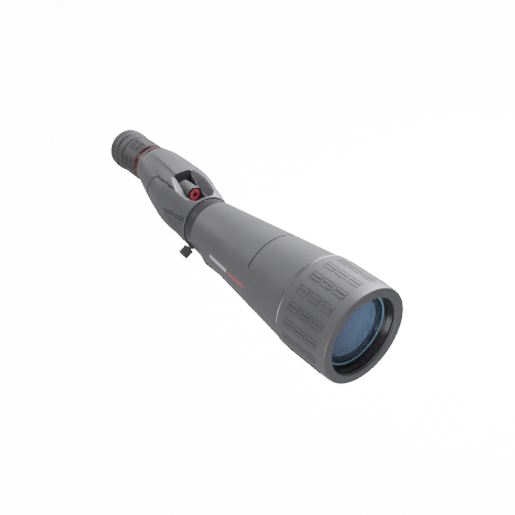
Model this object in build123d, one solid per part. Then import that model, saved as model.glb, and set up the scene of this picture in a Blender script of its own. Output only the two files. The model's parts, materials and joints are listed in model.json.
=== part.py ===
from build123d import *
import math
import os

# Straight spotting scope with an 80 mm objective, in millimetres.
#
# The model is laid out in "stations": the distance back along the optical axis from the
# sunshade's front rim, with heights above the barrel axis. save() then moves each piece into
# the part's frame: origin at the mouth of the tripod socket, objective towards -Y, +Z up.

os.makedirs("parts", exist_ok=True)

# ---- Frame -------------------------------------------------------------------------------
AXIS_HEIGHT = 48.0            # barrel axis above the foot's sole
SOCKET_STATION = 222.0        # tripod socket behind the front rim
EYEPIECE_RISE = 29.1          # eyepiece axis above the barrel axis

# ---- Clearances --------------------------------------------------------------------------
RUNNING = 0.05                # radial play of a turning fit
SLIDING = 0.3                 # radial play of a loose slide, sealed by O-rings
PARTING = 0.4                 # gap between a moving piece's end and its neighbour

# ---- Sunshade ----------------------------------------------------------------------------
SHADE_LENGTH = 68.6
SHADE_RADIUS = 52.0
SHADE_ARMOUR = 2.0
SHADE_WALL = 1.8
SHADE_LIP = 2.0               # thickness of the inturned front lip
SHADE_NOSE = 5.5              # round of the front rim
MOUTH_RADIUS = 41.3
SHADE_BEAD_LENGTH = 2.4
SHADE_BEAD_INSET = 0.3        # bead's radius below the armour's
SHADE_TRAVEL = 35.0

# ---- Barrel ------------------------------------------------------------------------------
CONE_LENGTH = 173.0
CONE_FRONT_RADIUS = 50.8
CONE_REAR_RADIUS = 33.0
CONE_ARMOUR = 1.8
CONE_WALL = 2.4
FRONT_TUBE_WALL = 3.0
NECK_RADIUS = 27.0
NECK_WALL = 3.0
NECK_REACH = 6.0              # neck's length inside the housing
GROOVE_STATION = 128.7
GROOVE_WIDTH = 1.3
GROOVE_DEPTH = 0.8
GROOVE_ARC = 116.0            # degrees over the top
BAFFLE_STATIONS = (112.0, 182.0)
BAFFLE_APERTURES = (36.0, 24.0)
BAFFLE_THICKNESS = 1.0
O_RING_CORD = 1.7
O_RING_SQUEEZE = 0.2          # cord's stand above the tube, under the shade
O_RING_STATIONS = (22.0, 62.0)

# ---- Objective ---------------------------------------------------------------------------
LENS_RADIUS = 40.0
LENS_STATION = 14.0
CROWN_EDGE = 5.0
CROWN_FRONT_BULGE = 4.0
CROWN_REAR_BULGE = 3.2
FLINT_EDGE = 8.0
FLINT_FRONT_HOLLOW = 3.0
FLINT_REAR_BULGE = 1.0
SPACER_LENGTH = 1.0
LENS_LAND = 1.8               # flat rim that seats each element
CELL_SHOULDER_LENGTH = 5.0
THREAD_RINGS = 4              # fine rings turned in the retaining ring's mouth
THREAD_DEPTH = 0.4

# ---- Tripod mount ------------------------------------------------------------------------
COLLAR_LENGTH = 14.2
COLLAR_RADIUS = 31.2
LINER_WALL = 1.3
FOOT_LENGTH = 52.0
FOOT_WIDTH = 24.0
FOOT_REAR_STATION = 247.5
FOOT_TOE = 5.5                # foot's thickness at its front end
FOOT_BARREL_GAP = 2.4         # air between the foot and the cone's armour
FOOT_ROUND = 2.0
PAD_THICKNESS = 1.2
PAD_MARGIN = 1.5
SOCKET_RADIUS = 2.55          # 1/4 inch - 20 thread
SOCKET_DEPTH = 8.5
INSERT_RADIUS = 4.5
FOOT_SCREW_RADIUS = 1.5
FOOT_SCREW_SPACING = 14.0
FOOT_SCREW_HEAD = 2.7
FOOT_SCREW_LENGTH = 10.0
LOCK_ANGLE = 31.0             # lock screw's axis below the horizontal
LOCK_SCREW_RADIUS = 2.5
LOCK_BOSS_RADIUS = 4.6
LOCK_BOSS_FACE = 34.2
LOCK_KNOB_RADIUS = 6.4
LOCK_KNOB_LENGTH = 11.6
LOCK_KNOB_GAP = 1.2
LOCK_KNOB_FLUTES = 12
LOCK_PAD_LENGTH = 2.0
LOCK_PAD_GAP = 0.3

# ---- Prism housing -----------------------------------------------------------------------
HOUSING_LENGTH = 115.0
HOUSING_FRONT_RADIUS = 33.0
HOUSING_REAR_RADIUS = 24.0
HOUSING_ARMOUR = 1.8
HOUSING_WALL = 2.0
HOUSING_END_WALL = 4.0
# Middle sections: share of the length, half width, top and bottom above the barrel axis.
HOUSING_SECTIONS = (
    (0.10, 32.8, 37.7, -30.0),
    (0.20, 33.8, 42.3, -26.8),
    (0.31, 36.4, 46.4, -23.0),
    (0.42, 37.0, 48.6, -19.0),
    (0.56, 34.8, 51.4, -13.8),
    (0.71, 31.5, 53.9, -8.0),
    (0.87, 27.3, 55.2, -1.2),
)
HOUSING_SQUARENESS = 2.4      # exponent of the middle sections; 2 is an ellipse
SECTION_POINTS = 16
NECK_SEAL_CORD = 1.5
CASE_SCREW_PLACES = ((300.0, -12.5), (352.0, 46.0))
CASE_SCREW_RADIUS = 1.1
CASE_SCREW_HEAD = 2.0
CASE_SCREW_REACH = 12.0
CASE_BOSS_RADIUS = 2.6

# ---- Focus knob --------------------------------------------------------------------------
KNOB_HEIGHT = 28.2            # knob's axis above the barrel axis
KNOB_STATION = 279.0
KNOB_LENGTH = 30.0
KNOB_RADIUS = 9.0
KNOB_CORE_RADIUS = 7.4
KNOB_RIM_LENGTH = 2.0
KNOB_RIBS = 24
KNOB_RIB_DEPTH = 0.5
KNOB_CAP_RADIUS = 7.0
KNOB_CAP_BORE = 2.6
KNOB_CAP_DEPTH = 1.2
TROUGH_GAP = 2.0              # room around the knob
TROUGH_FRONT_GAP = 11.0       # room ahead of the knob for a finger
TROUGH_FLARE = 3.0            # how much each side opens out at the top
TROUGH_CEILING = 60.0
TROUGH_WALL = 2.0
ARCH_STATION = 303.4          # front face of the hump that roofs the knob's rear end
# Valley that opens round the knob: stations and heights of its floor's edge. It falls from
# the arch, runs level beside the knob and climbs to the front rim.
SCOOP_FLOOR = ((258.5, 33.5), (267.0, 26.0), (284.0, 28.0), (ARCH_STATION, 43.5))
SCOOP_REACH = 30.0            # how far its sides run out, at 45 degrees
JOURNAL_RADIUS = 5.0
BUSH_WALL = 1.6
PUSH_ROD_RADIUS = 3.0
PUSH_ROD_GRIP = 22.0          # length of rod inside the knob

# ---- Prisms and focusing sled ------------------------------------------------------------
PRISM_APERTURE = 13.0
PRISM_RIDGE_CUT = 3.0         # flat ground on each prism's ridge
PRISM_RIDGE_STATION = 312.0   # sharp ridge of the front, moving prism
FOCUS_TRAVEL = 1.5            # each way
ARM_THICKNESS = 2.0
ARM_HALF_WIDTH = 3.0
ARM_SIDE = 12.6               # side bar's distance from the middle plane
PLATE_THICKNESS = 1.5
PLATE_GAP = 0.4               # least gap between the two prism plates
PLATE_MARGIN = 2.0            # sled's clearance inside the housing
WINDOW_RADIUS = 6.2
GUIDE_ROD_RADIUS = 1.5
GUIDE_ROD_LENGTH = 14.0
GUIDE_ROD_PLACES = ((-21.0, 29.0), (19.0, 12.0))

# ---- Eyepiece ----------------------------------------------------------------------------
SEAT_LENGTH = 6.0
SEAT_RADIUS = 22.9
ACCENT_RADIUS = 23.7
ACCENT_LENGTH = 1.9
ACCENT_INSET = 0.3
EYE_TUBE_RADIUS = 20.0
EYE_TUBE_WALL = 1.6
EYE_TUBE_END = 426.0
ZOOM_RING_LENGTH = 30.0
ZOOM_CORE_WALL = 1.9
ZOOM_RADIUS = 24.2
ZOOM_RIBS = 40
ZOOM_RIB_DEPTH = 0.6
ZOOM_TURN = 110.0             # degrees from lowest to highest power
CAM_WALL = 1.7
CAM_FRONT = 379.0
CAM_REAR = 407.0
GUIDE_WALL = 1.5
GUIDE_TUBE_REAR = 410.0
FIELD_STOP_BORE = 8.0
GROUP_LENGTH = 7.0
GROUP_WALL = 2.4
GROUP_LENS_EDGE = 3.0
GROUP_LENS_BULGE = 1.5
LENS_RIM = 1.0                # flat rim of the small lenses
GROUP_PIN_RADIUS = 1.0
PIN_SLOT_PLAY = 0.25
SLOT_STEPS = 24
GROUP_STATIONS = (385.0, 402.0)     # at lowest power
GROUP_SHIFTS = (5.0, -4.0)          # by highest power
DRIVE_SCREW_RADIUS = 1.4
DRIVE_SCREW_STATION = 388.0
EYE_CELL_LENGTH = 12.0
EYE_LENS_RADIUS = 13.0
EYE_LENS_EDGE = 3.5
EYE_LENS_BULGE = 2.0

# ---- Eyecup ------------------------------------------------------------------------------
RUNNER_WALL = 1.2
RUNNER_LENGTH = 6.0
EYECUP_WALL = 1.3
EYECUP_END = 438.5
EYECUP_RADIUS = 25.8
EYECUP_WAIST = 24.3
EYECUP_STEP_STATION = 421.0
EYECUP_MOUTH = 16.5
EYECUP_LIP = 3.0
EYECUP_TRAVEL = 8.0

# ---- Stations that follow from the sizes above -------------------------------------------
CONE_FRONT = SHADE_LENGTH + PARTING
CONE_REAR = CONE_FRONT + CONE_LENGTH
COLLAR_FRONT = CONE_REAR + PARTING
COLLAR_REAR = COLLAR_FRONT + COLLAR_LENGTH
HOUSING_FRONT = COLLAR_REAR + PARTING
HOUSING_REAR = HOUSING_FRONT + HOUSING_LENGTH

SHADE_SHELL_RADIUS = SHADE_RADIUS - SHADE_ARMOUR
SHADE_BORE = SHADE_SHELL_RADIUS - SHADE_WALL
FRONT_TUBE_RADIUS = SHADE_BORE - SLIDING
FRONT_TUBE_BORE = FRONT_TUBE_RADIUS - FRONT_TUBE_WALL
FRONT_TUBE_FRONT = 2 * SHADE_LIP + PARTING

CELL_FRONT = FRONT_TUBE_FRONT + PARTING
CROWN_REAR = LENS_STATION + CROWN_EDGE
FLINT_STATION = CROWN_REAR + SPACER_LENGTH
FLINT_REAR = FLINT_STATION + FLINT_EDGE
CELL_REAR = FLINT_REAR + CELL_SHOULDER_LENGTH

TROUGH_RADIUS = KNOB_RADIUS + TROUGH_GAP
TROUGH_FRONT = KNOB_STATION - TROUGH_FRONT_GAP
KNOB_REAR = KNOB_STATION + KNOB_LENGTH
TROUGH_REAR = KNOB_REAR + TROUGH_GAP

PRISM_OFFSET = EYEPIECE_RISE / math.sqrt(2)      # beam shift inside one prism
PRISM_HALF_LENGTH = (PRISM_OFFSET + PRISM_APERTURE) / 2
MOVING_PRISM_FACE = PRISM_RIDGE_STATION + PRISM_HALF_LENGTH
SLED_REAR = MOVING_PRISM_FACE + PLATE_THICKNESS
BRACKET_FRONT = SLED_REAR + FOCUS_TRAVEL + PLATE_GAP
FIXED_PRISM_FACE = BRACKET_FRONT + PLATE_THICKNESS
ARM_FRONT = TROUGH_REAR + TROUGH_WALL + FOCUS_TRAVEL + PLATE_GAP

SEAT_FRONT = HOUSING_REAR
SEAT_REAR = SEAT_FRONT + SEAT_LENGTH
ZOOM_FRONT = SEAT_REAR + PARTING
ZOOM_REAR = ZOOM_FRONT + ZOOM_RING_LENGTH
EYECUP_FRONT = ZOOM_REAR + PARTING
EYE_TUBE_BORE = EYE_TUBE_RADIUS - EYE_TUBE_WALL
ZOOM_BORE = EYE_TUBE_RADIUS + RUNNING
ZOOM_CORE_RADIUS = ZOOM_BORE + ZOOM_CORE_WALL
CAM_RADIUS = EYE_TUBE_BORE - RUNNING
CAM_BORE = CAM_RADIUS - CAM_WALL
GUIDE_RADIUS = CAM_BORE - RUNNING
GUIDE_BORE = GUIDE_RADIUS - GUIDE_WALL
GROUP_RADIUS = GUIDE_BORE - RUNNING
RUNNER_FRONT = EYECUP_FRONT + PARTING
RUNNER_RADIUS = EYE_TUBE_RADIUS + RUNNING + RUNNER_WALL
EYECUP_BORE = RUNNER_RADIUS + RUNNING
EYECUP_CORE_RADIUS = EYECUP_BORE + EYECUP_WALL


# ---- Helpers -----------------------------------------------------------------------------

def save(node, *solids):
    """Write one node, moved from stations and heights into the part's frame."""
    move = Pos(0, -SOCKET_STATION, AXIS_HEIGHT)
    moved = [move * solid for piece in solids for solid in piece.solids()]
    shape = moved[0] if len(moved) == 1 else Compound(children=moved)
    export_step(shape, f"parts/{node}.step")


def turned(outline, height=0.0):
    """Solid of revolution about an axis along Y, from (radius, station) corners."""
    profile = make_face(Polyline(*outline, close=True))
    return Pos(0, 0, height) * revolve(profile, Axis.Y)


def ring(front, rear, outer, inner, height=0.0):
    """Plain ring between two stations."""
    return turned([(inner, front), (outer, front), (outer, rear), (inner, rear)], height)


def rod(front, rear, radius, side=0.0, height=0.0):
    """Plain round bar along Y."""
    bar = Cylinder(radius, rear - front, rotation=(90, 0, 0))
    return Pos(side, (front + rear) / 2, height) * bar


def block(front, rear, left, right, low, high):
    """Plain box between two stations, two sides and two heights."""
    size = Box(right - left, rear - front, high - low)
    return Pos((left + right) / 2, (front + rear) / 2, (low + high) / 2) * size


def lens_face(station, radius, rise):
    """Half of a spherical face, from the axis out; rise is along Y, from its rim to its crown."""
    ball = (radius ** 2 + rise ** 2) / (2 * abs(rise))
    depth = ball - math.sqrt(ball ** 2 - (radius / 2) ** 2)
    middle = station + rise - math.copysign(depth, rise)
    return ThreePointArc((0, station + rise), (radius / 2, middle), (radius, station))


def lens(front, rear, radius, land, front_bulge, rear_bulge, height=0.0):
    """Lens between two flat lands; a positive bulge stands out of them."""
    curved = radius - land
    outline = [
        lens_face(front, curved, -front_bulge),
        Line((curved, front), (radius, front)),
        Line((radius, front), (radius, rear)),
        Line((radius, rear), (curved, rear)),
        lens_face(rear, curved, rear_bulge),
        Line((0, rear + rear_bulge), (0, front - front_bulge)),
    ]
    return Pos(0, 0, height) * revolve(make_face(outline), Axis.Y)


def o_ring(station, centre_radius, cord):
    """Round sealing ring about the barrel axis."""
    return Pos(0, station, 0) * Torus(centre_radius, cord / 2, rotation=(90, 0, 0))


def fluted(solid, count, radius, depth, front, rear, height=0.0):
    """Cut shallow round flutes along a knob's side, leaving ribs between them."""
    groove = rod(front, rear, depth, height=radius)
    cuts = [Rot(0, 360 * turn / count, 0) * groove for turn in range(count)]
    return solid - [Pos(0, 0, height) * cut for cut in cuts]


def cone_radius(station):
    """Outer radius of the cone's armour."""
    share = (station - CONE_FRONT) / CONE_LENGTH
    return CONE_FRONT_RADIUS + share * (CONE_REAR_RADIUS - CONE_FRONT_RADIUS)


def cone_shell_radius(station):
    return cone_radius(station) - CONE_ARMOUR


def cone_bore(station):
    return cone_shell_radius(station) - CONE_WALL


# ---- Sunshade ----------------------------------------------------------------------------

def sunshade():
    inner_lip = MOUTH_RADIUS + SHADE_LIP / 2
    lip_rear = 2 * SHADE_LIP
    bead_front = SHADE_LENGTH - SHADE_BEAD_LENGTH
    shell = turned([
        (inner_lip, SHADE_LIP), (SHADE_SHELL_RADIUS, SHADE_LIP),
        (SHADE_SHELL_RADIUS, SHADE_LENGTH), (SHADE_BORE, SHADE_LENGTH),
        (SHADE_BORE, lip_rear), (inner_lip, lip_rear),
    ])
    save("sunshade_shell", shell)

    nose = SHADE_NOSE
    nose_mid = nose * (1 - math.sqrt(0.5))
    corner = ThreePointArc(
        (SHADE_RADIUS - nose, 0), (SHADE_RADIUS - nose_mid, nose_mid), (SHADE_RADIUS, nose))
    outline = [
        Line((MOUTH_RADIUS, lip_rear), (MOUTH_RADIUS, SHADE_LIP / 2)),
        Line((MOUTH_RADIUS, SHADE_LIP / 2), (inner_lip, 0)),
        Line((inner_lip, 0), (SHADE_RADIUS - nose, 0)),
        corner,
        Line((SHADE_RADIUS, nose), (SHADE_RADIUS, bead_front)),
        Line((SHADE_RADIUS, bead_front), (SHADE_SHELL_RADIUS, bead_front)),
        Line((SHADE_SHELL_RADIUS, bead_front), (SHADE_SHELL_RADIUS, SHADE_LIP)),
        Line((SHADE_SHELL_RADIUS, SHADE_LIP), (inner_lip, SHADE_LIP)),
        Line((inner_lip, SHADE_LIP), (inner_lip, lip_rear)),
        Line((inner_lip, lip_rear), (MOUTH_RADIUS, lip_rear)),
    ]
    save("sunshade_armour", revolve(make_face(outline), Axis.Y))

    bead_radius = SHADE_RADIUS - SHADE_BEAD_INSET
    bead = turned([
        (SHADE_SHELL_RADIUS, bead_front), (bead_radius, bead_front),
        (bead_radius, SHADE_LENGTH - SHADE_BEAD_INSET),
        (bead_radius - SHADE_BEAD_INSET, SHADE_LENGTH), (SHADE_SHELL_RADIUS, SHADE_LENGTH),
    ])
    save("sunshade_bead", bead)


# ---- Barrel ------------------------------------------------------------------------------

def barrel():
    cone_lip = CONE_FRONT + PARTING
    inner_step = CONE_FRONT + 3 * FRONT_TUBE_WALL
    neck_rear = HOUSING_FRONT + NECK_REACH
    neck_bore = NECK_RADIUS - NECK_WALL
    shell = turned([
        (FRONT_TUBE_BORE, FRONT_TUBE_FRONT), (FRONT_TUBE_RADIUS, FRONT_TUBE_FRONT),
        (FRONT_TUBE_RADIUS, cone_lip), (cone_shell_radius(cone_lip), cone_lip),
        (cone_shell_radius(CONE_REAR), CONE_REAR), (NECK_RADIUS, CONE_REAR),
        (NECK_RADIUS, neck_rear), (neck_bore, neck_rear),
        (neck_bore, CONE_REAR - NECK_WALL), (cone_bore(CONE_REAR - NECK_WALL), CONE_REAR - NECK_WALL),
        (cone_bore(inner_step), inner_step), (FRONT_TUBE_BORE, inner_step),
    ])
    stand = FRONT_TUBE_RADIUS + O_RING_SQUEEZE
    groove_floor = stand - O_RING_CORD
    half = O_RING_CORD / 2
    for station in O_RING_STATIONS:
        shell -= ring(station - half, station + half, FRONT_TUBE_RADIUS + 1, groove_floor)
    seal_station = HOUSING_FRONT + HOUSING_END_WALL / 2
    half_seal = NECK_SEAL_CORD / 2
    shell -= ring(seal_station - half_seal, seal_station + half_seal,
                  NECK_RADIUS + 1, NECK_RADIUS - NECK_SEAL_CORD)
    save("barrel_shell", shell)
    save("neck_seal", o_ring(seal_station, NECK_RADIUS - half_seal, NECK_SEAL_CORD))
    save("sunshade_o_rings", *[o_ring(s, stand - half, O_RING_CORD) for s in O_RING_STATIONS])

    lip = CONE_ARMOUR / 2
    armour = turned([
        (cone_shell_radius(cone_lip), cone_lip), (cone_radius(cone_lip) - lip / 2, cone_lip),
        (cone_radius(cone_lip + lip), cone_lip + lip),
        (cone_radius(CONE_REAR - lip), CONE_REAR - lip),
        (cone_shell_radius(CONE_REAR) + lip, CONE_REAR),
        (cone_shell_radius(CONE_REAR), CONE_REAR),
    ])
    floor = cone_radius(GROOVE_STATION) - GROOVE_DEPTH
    half = GROOVE_WIDTH / 2
    profile = make_face(Polyline(
        (floor, GROOVE_STATION - half), (floor + 2, GROOVE_STATION - half),
        (floor + 2, GROOVE_STATION + half), (floor, GROOVE_STATION + half), close=True))
    groove = revolve(profile, Axis.Y, GROOVE_ARC)
    armour -= Rot(0, -90 - GROOVE_ARC / 2, 0) * groove
    save("barrel_armour", armour)

    baffles = []
    for station, aperture in zip(BAFFLE_STATIONS, BAFFLE_APERTURES):
        rear = station + BAFFLE_THICKNESS
        baffles.append(turned([
            (aperture, station), (cone_bore(station), station),
            (cone_bore(rear), rear), (aperture, rear),
        ]))
    save("light_baffles", *baffles)


# ---- Objective ---------------------------------------------------------------------------

def objective():
    retainer_front = CELL_FRONT
    thread_pitch = (LENS_STATION - retainer_front) / (2 * THREAD_RINGS)
    clear_radius = LENS_RADIUS - LENS_LAND
    bore = [(clear_radius, LENS_STATION)]
    slope = (MOUTH_RADIUS - clear_radius) / (LENS_STATION - retainer_front)
    for index in range(THREAD_RINGS):
        station = retainer_front + (THREAD_RINGS - index) * thread_pitch
        radius = clear_radius + slope * (LENS_STATION - station)
        bore.append((radius, station))
        bore.append((radius + THREAD_DEPTH, station - thread_pitch / 2))
    retainer = turned(bore + [
        (MOUTH_RADIUS, retainer_front), (FRONT_TUBE_BORE, retainer_front),
        (FRONT_TUBE_BORE, LENS_STATION),
    ])
    save("objective_retaining_ring", retainer)

    cell = turned([
        (LENS_RADIUS, LENS_STATION), (FRONT_TUBE_BORE, LENS_STATION),
        (FRONT_TUBE_BORE, CELL_REAR), (clear_radius, CELL_REAR),
        (clear_radius, FLINT_REAR), (LENS_RADIUS, FLINT_REAR),
    ])
    save("objective_cell", cell)
    save("objective_crown_lens", lens(
        LENS_STATION, CROWN_REAR, LENS_RADIUS, LENS_LAND, CROWN_FRONT_BULGE, CROWN_REAR_BULGE))
    save("objective_spacer", ring(CROWN_REAR, FLINT_STATION, LENS_RADIUS, clear_radius))
    save("objective_flint_lens", lens(
        FLINT_STATION, FLINT_REAR, LENS_RADIUS, LENS_LAND, -FLINT_FRONT_HOLLOW, FLINT_REAR_BULGE))


# ---- Tripod mount ------------------------------------------------------------------------

def lock_frame():
    """Turns a piece that runs along +X from the barrel axis onto the lock screw's axis."""
    middle = (COLLAR_FRONT + COLLAR_REAR) / 2
    return Pos(0, middle, 0) * Rot(0, 180 - LOCK_ANGLE, 0)


def spoke(inner, outer, radius):
    """Round bar along +X between two distances from the barrel axis."""
    return Pos((inner + outer) / 2, 0, 0) * Cylinder(radius, outer - inner, rotation=(0, 90, 0))


def tripod_mount():
    liner_bore = NECK_RADIUS + RUNNING
    collar_bore = liner_bore + LINER_WALL
    frame = lock_frame()
    hole = frame * spoke(NECK_RADIUS - 1, LOCK_BOSS_FACE + 1, LOCK_SCREW_RADIUS + RUNNING)
    boss = frame * spoke(collar_bore + 1, LOCK_BOSS_FACE, LOCK_BOSS_RADIUS)

    screw_station = (COLLAR_FRONT + COLLAR_REAR) / 2
    screw_sides = (-FOOT_SCREW_SPACING / 2, FOOT_SCREW_SPACING / 2)
    screw_top = -math.sqrt(((collar_bore + COLLAR_RADIUS) / 2) ** 2 - screw_sides[0] ** 2)
    screw_low = screw_top - FOOT_SCREW_LENGTH
    sole = -AXIS_HEIGHT + PAD_THICKNESS

    def upright(low, high, radius, side):
        return Pos(side, screw_station, (low + high) / 2) * Cylinder(radius, high - low)

    shanks = [upright(screw_low, screw_top, FOOT_SCREW_RADIUS, side) for side in screw_sides]
    collar = ring(COLLAR_FRONT, COLLAR_REAR, COLLAR_RADIUS, collar_bore) + boss
    save("tripod_collar", collar - hole - shanks)
    save("collar_liner", ring(COLLAR_FRONT, COLLAR_REAR, collar_bore, liner_bore) - hole)

    # The foot hangs from the collar and runs forward under the cone.
    toe = FOOT_REAR_STATION - FOOT_LENGTH
    toe_top = sole + FOOT_TOE
    heel_top = -(cone_radius(CONE_REAR) + FOOT_BARREL_GAP)
    side_view = make_face(Polyline(
        (toe, sole), (FOOT_REAR_STATION, sole), (COLLAR_REAR, screw_low),
        (COLLAR_REAR, -COLLAR_RADIUS / 2), (COLLAR_FRONT, -COLLAR_RADIUS / 2),
        (COLLAR_FRONT, heel_top), (toe, toe_top), close=True))
    foot = extrude(Plane.YZ * side_view, FOOT_WIDTH / 2, both=True)
    foot -= rod(toe - 1, COLLAR_REAR + 1, COLLAR_RADIUS)
    post_edges = foot.edges().filter_by(Axis.X).sort_by(Axis.Y)[0:2]
    foot = fillet(post_edges, FOOT_ROUND)
    insert_mouth = -AXIS_HEIGHT
    insert = Pos(0, SOCKET_STATION, insert_mouth + SOCKET_DEPTH / 2)
    foot -= insert * Cylinder(INSERT_RADIUS, SOCKET_DEPTH)
    foot -= shanks
    head_length = screw_low - sole
    foot -= [upright(sole - 1, screw_low, FOOT_SCREW_HEAD, side) for side in screw_sides]
    save("tripod_foot", foot)
    save("foot_insert", insert * (
        Cylinder(INSERT_RADIUS, SOCKET_DEPTH) - Cylinder(SOCKET_RADIUS, SOCKET_DEPTH)))

    heads = [upright(screw_low - head_length / 2, screw_low, FOOT_SCREW_HEAD, side)
             for side in screw_sides]
    save("foot_screws", *[shank + head for shank, head in zip(shanks, heads)])

    pad_half = FOOT_WIDTH / 2 - PAD_MARGIN
    pad_rear = screw_station - FOOT_SCREW_HEAD - PAD_MARGIN
    pad = block(toe + FOOT_ROUND, min(pad_rear, FOOT_REAR_STATION - PAD_MARGIN),
                -pad_half, pad_half, -AXIS_HEIGHT, sole)
    save("foot_pad", pad - insert * Cylinder(INSERT_RADIUS, SOCKET_DEPTH))

    pad_tip = NECK_RADIUS + LOCK_PAD_GAP
    screw_tip = pad_tip + LOCK_PAD_LENGTH
    knob_inner = LOCK_BOSS_FACE + LOCK_KNOB_GAP
    knob_outer = knob_inner + LOCK_KNOB_LENGTH
    save("lock_pad", frame * spoke(pad_tip, screw_tip, LOCK_SCREW_RADIUS))
    save("lock_screw", frame * spoke(screw_tip + RUNNING, knob_outer - 2, LOCK_SCREW_RADIUS))
    knob = spoke(knob_inner, knob_outer, LOCK_KNOB_RADIUS)
    knob = chamfer(knob.edges().filter_by(GeomType.CIRCLE), LOCK_KNOB_RADIUS / 8)
    knob -= spoke(knob_inner - 1, knob_outer - 2, LOCK_SCREW_RADIUS)
    flute = Pos(0, 0, LOCK_KNOB_RADIUS) * spoke(knob_inner + 1.5, knob_outer + 1, 0.6)
    knob -= [Rot(360 * turn / LOCK_KNOB_FLUTES, 0, 0) * flute for turn in range(LOCK_KNOB_FLUTES)]
    save("lock_knob", frame * knob)


# ---- Prism housing -----------------------------------------------------------------------

def section(station, half_width, top, bottom, squareness):
    """Closed rounded section of the housing, as a superellipse across the axis."""
    middle = (top + bottom) / 2
    half_height = (top - bottom) / 2
    points = []
    for index in range(SECTION_POINTS):
        angle = 2 * math.pi * index / SECTION_POINTS
        across = abs(math.cos(angle)) ** (2 / squareness)
        up = abs(math.sin(angle)) ** (2 / squareness)
        points.append((
            half_width * math.copysign(across, math.cos(angle)), station,
            middle + half_height * math.copysign(up, math.sin(angle))))
    return make_face(Spline(*points, periodic=True))


def housing_body(inset, front=0.0, rear=0.0):
    """The housing's outer form, drawn in all round by an inset."""
    start = HOUSING_FRONT + front
    span = HOUSING_LENGTH - front - rear
    first = HOUSING_FRONT_RADIUS - inset
    last = HOUSING_REAR_RADIUS - inset
    sections = [section(start, first, first, -first, 2)]
    for share, half_width, top, bottom in HOUSING_SECTIONS:
        station = start + share * span
        sections.append(section(
            station, half_width - inset, top - inset, bottom + inset, HOUSING_SQUARENESS))
    sections.append(section(
        start + span, last, EYEPIECE_RISE + last, EYEPIECE_RISE - last, 2))
    return loft(sections)


def trough(grow=0.0):
    """The knob's recess: round under the knob, its sides opening out towards the top."""
    radius = TROUGH_RADIUS + grow
    front = TROUGH_FRONT - grow
    rear = TROUGH_REAR + grow
    arch = ARCH_STATION + grow
    floor = rod(front, rear, radius, height=KNOB_HEIGHT)
    mouth = Plane.XZ * make_face(Polyline(
        (-radius, KNOB_HEIGHT), (radius, KNOB_HEIGHT),
        (radius + TROUGH_FLARE, TROUGH_CEILING), (-radius - TROUGH_FLARE, TROUGH_CEILING),
        close=True))
    sides = Pos(0, arch, 0) * extrude(mouth, arch - front)
    return floor + sides


def scoop(grow=0.0):
    """The valley above the trough, its floor and sides moved into the body by grow."""
    half = TROUGH_RADIUS + grow * math.tan(math.pi / 8)
    faces = []
    for station, edge in SCOOP_FLOOR:
        low = edge - grow
        face = Plane.XZ * make_face(Polyline(
            (-half, low), (half, low), (half + SCOOP_REACH, low + SCOOP_REACH),
            (-half - SCOOP_REACH, low + SCOOP_REACH), close=True))
        back = grow if station == ARCH_STATION else 0.0
        faces.append(Pos(0, station + back, 0) * face)
    return loft(faces, ruled=True)


def cross_bar(place, radius, left, right):
    """Round bar across the housing, from side to side."""
    station, height = place
    bar = Cylinder(radius, right - left, rotation=(0, 90, 0))
    return Pos((left + right) / 2, station, height) * bar


def housing():
    outer = housing_body(0) - scoop()
    under_armour = housing_body(HOUSING_ARMOUR) - scoop(HOUSING_ARMOUR)
    inset = HOUSING_ARMOUR + HOUSING_WALL
    inside = housing_body(inset, HOUSING_END_WALL, HOUSING_END_WALL) - scoop(inset)
    recess = trough()
    save("housing_armour", outer - under_armour - recess)

    shell = under_armour - inside + (trough(TROUGH_WALL) & under_armour)
    neck_hole = rod(HOUSING_FRONT - 1, HOUSING_FRONT + HOUSING_END_WALL + 1, NECK_RADIUS)
    eye_hole = rod(HOUSING_REAR - HOUSING_END_WALL - 1, HOUSING_REAR + 1, EYE_TUBE_RADIUS,
                   height=EYEPIECE_RISE)
    bush_hole = rod(TROUGH_REAR - 1, TROUGH_REAR + TROUGH_WALL + 1,
                    JOURNAL_RADIUS + RUNNING + BUSH_WALL, height=KNOB_HEIGHT)
    shell = shell - recess - neck_hole - eye_hole - bush_hole
    shell -= rod(TROUGH_FRONT - TROUGH_WALL - 1, PRISM_RIDGE_STATION, PRISM_APERTURE)
    width = 2 * max(half for _, half, _, _ in HOUSING_SECTIONS)
    for place in CASE_SCREW_PLACES:
        shell += cross_bar(place, CASE_BOSS_RADIUS, -width, width) & inside
    screws = []
    for place in CASE_SCREW_PLACES:
        shank = cross_bar(place, CASE_SCREW_RADIUS, -CASE_SCREW_REACH, CASE_SCREW_REACH)
        head = cross_bar(place, CASE_SCREW_HEAD, CASE_SCREW_REACH,
                         CASE_SCREW_REACH + CASE_SCREW_HEAD)
        screws.append(shank + head)
        shell -= shank
        shell -= cross_bar(place, CASE_SCREW_HEAD, CASE_SCREW_REACH, width)
    save("housing_screws", *screws)
    tall = 2 * width
    right_half = block(HOUSING_FRONT, HOUSING_REAR, 0, width, -tall, tall)
    left_half = block(HOUSING_FRONT, HOUSING_REAR, -width, 0, -tall, tall)
    save("housing_left_shell", shell & left_half)
    save("housing_right_shell", shell & right_half)

    return inside


# ---- Focus knob --------------------------------------------------------------------------

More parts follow.
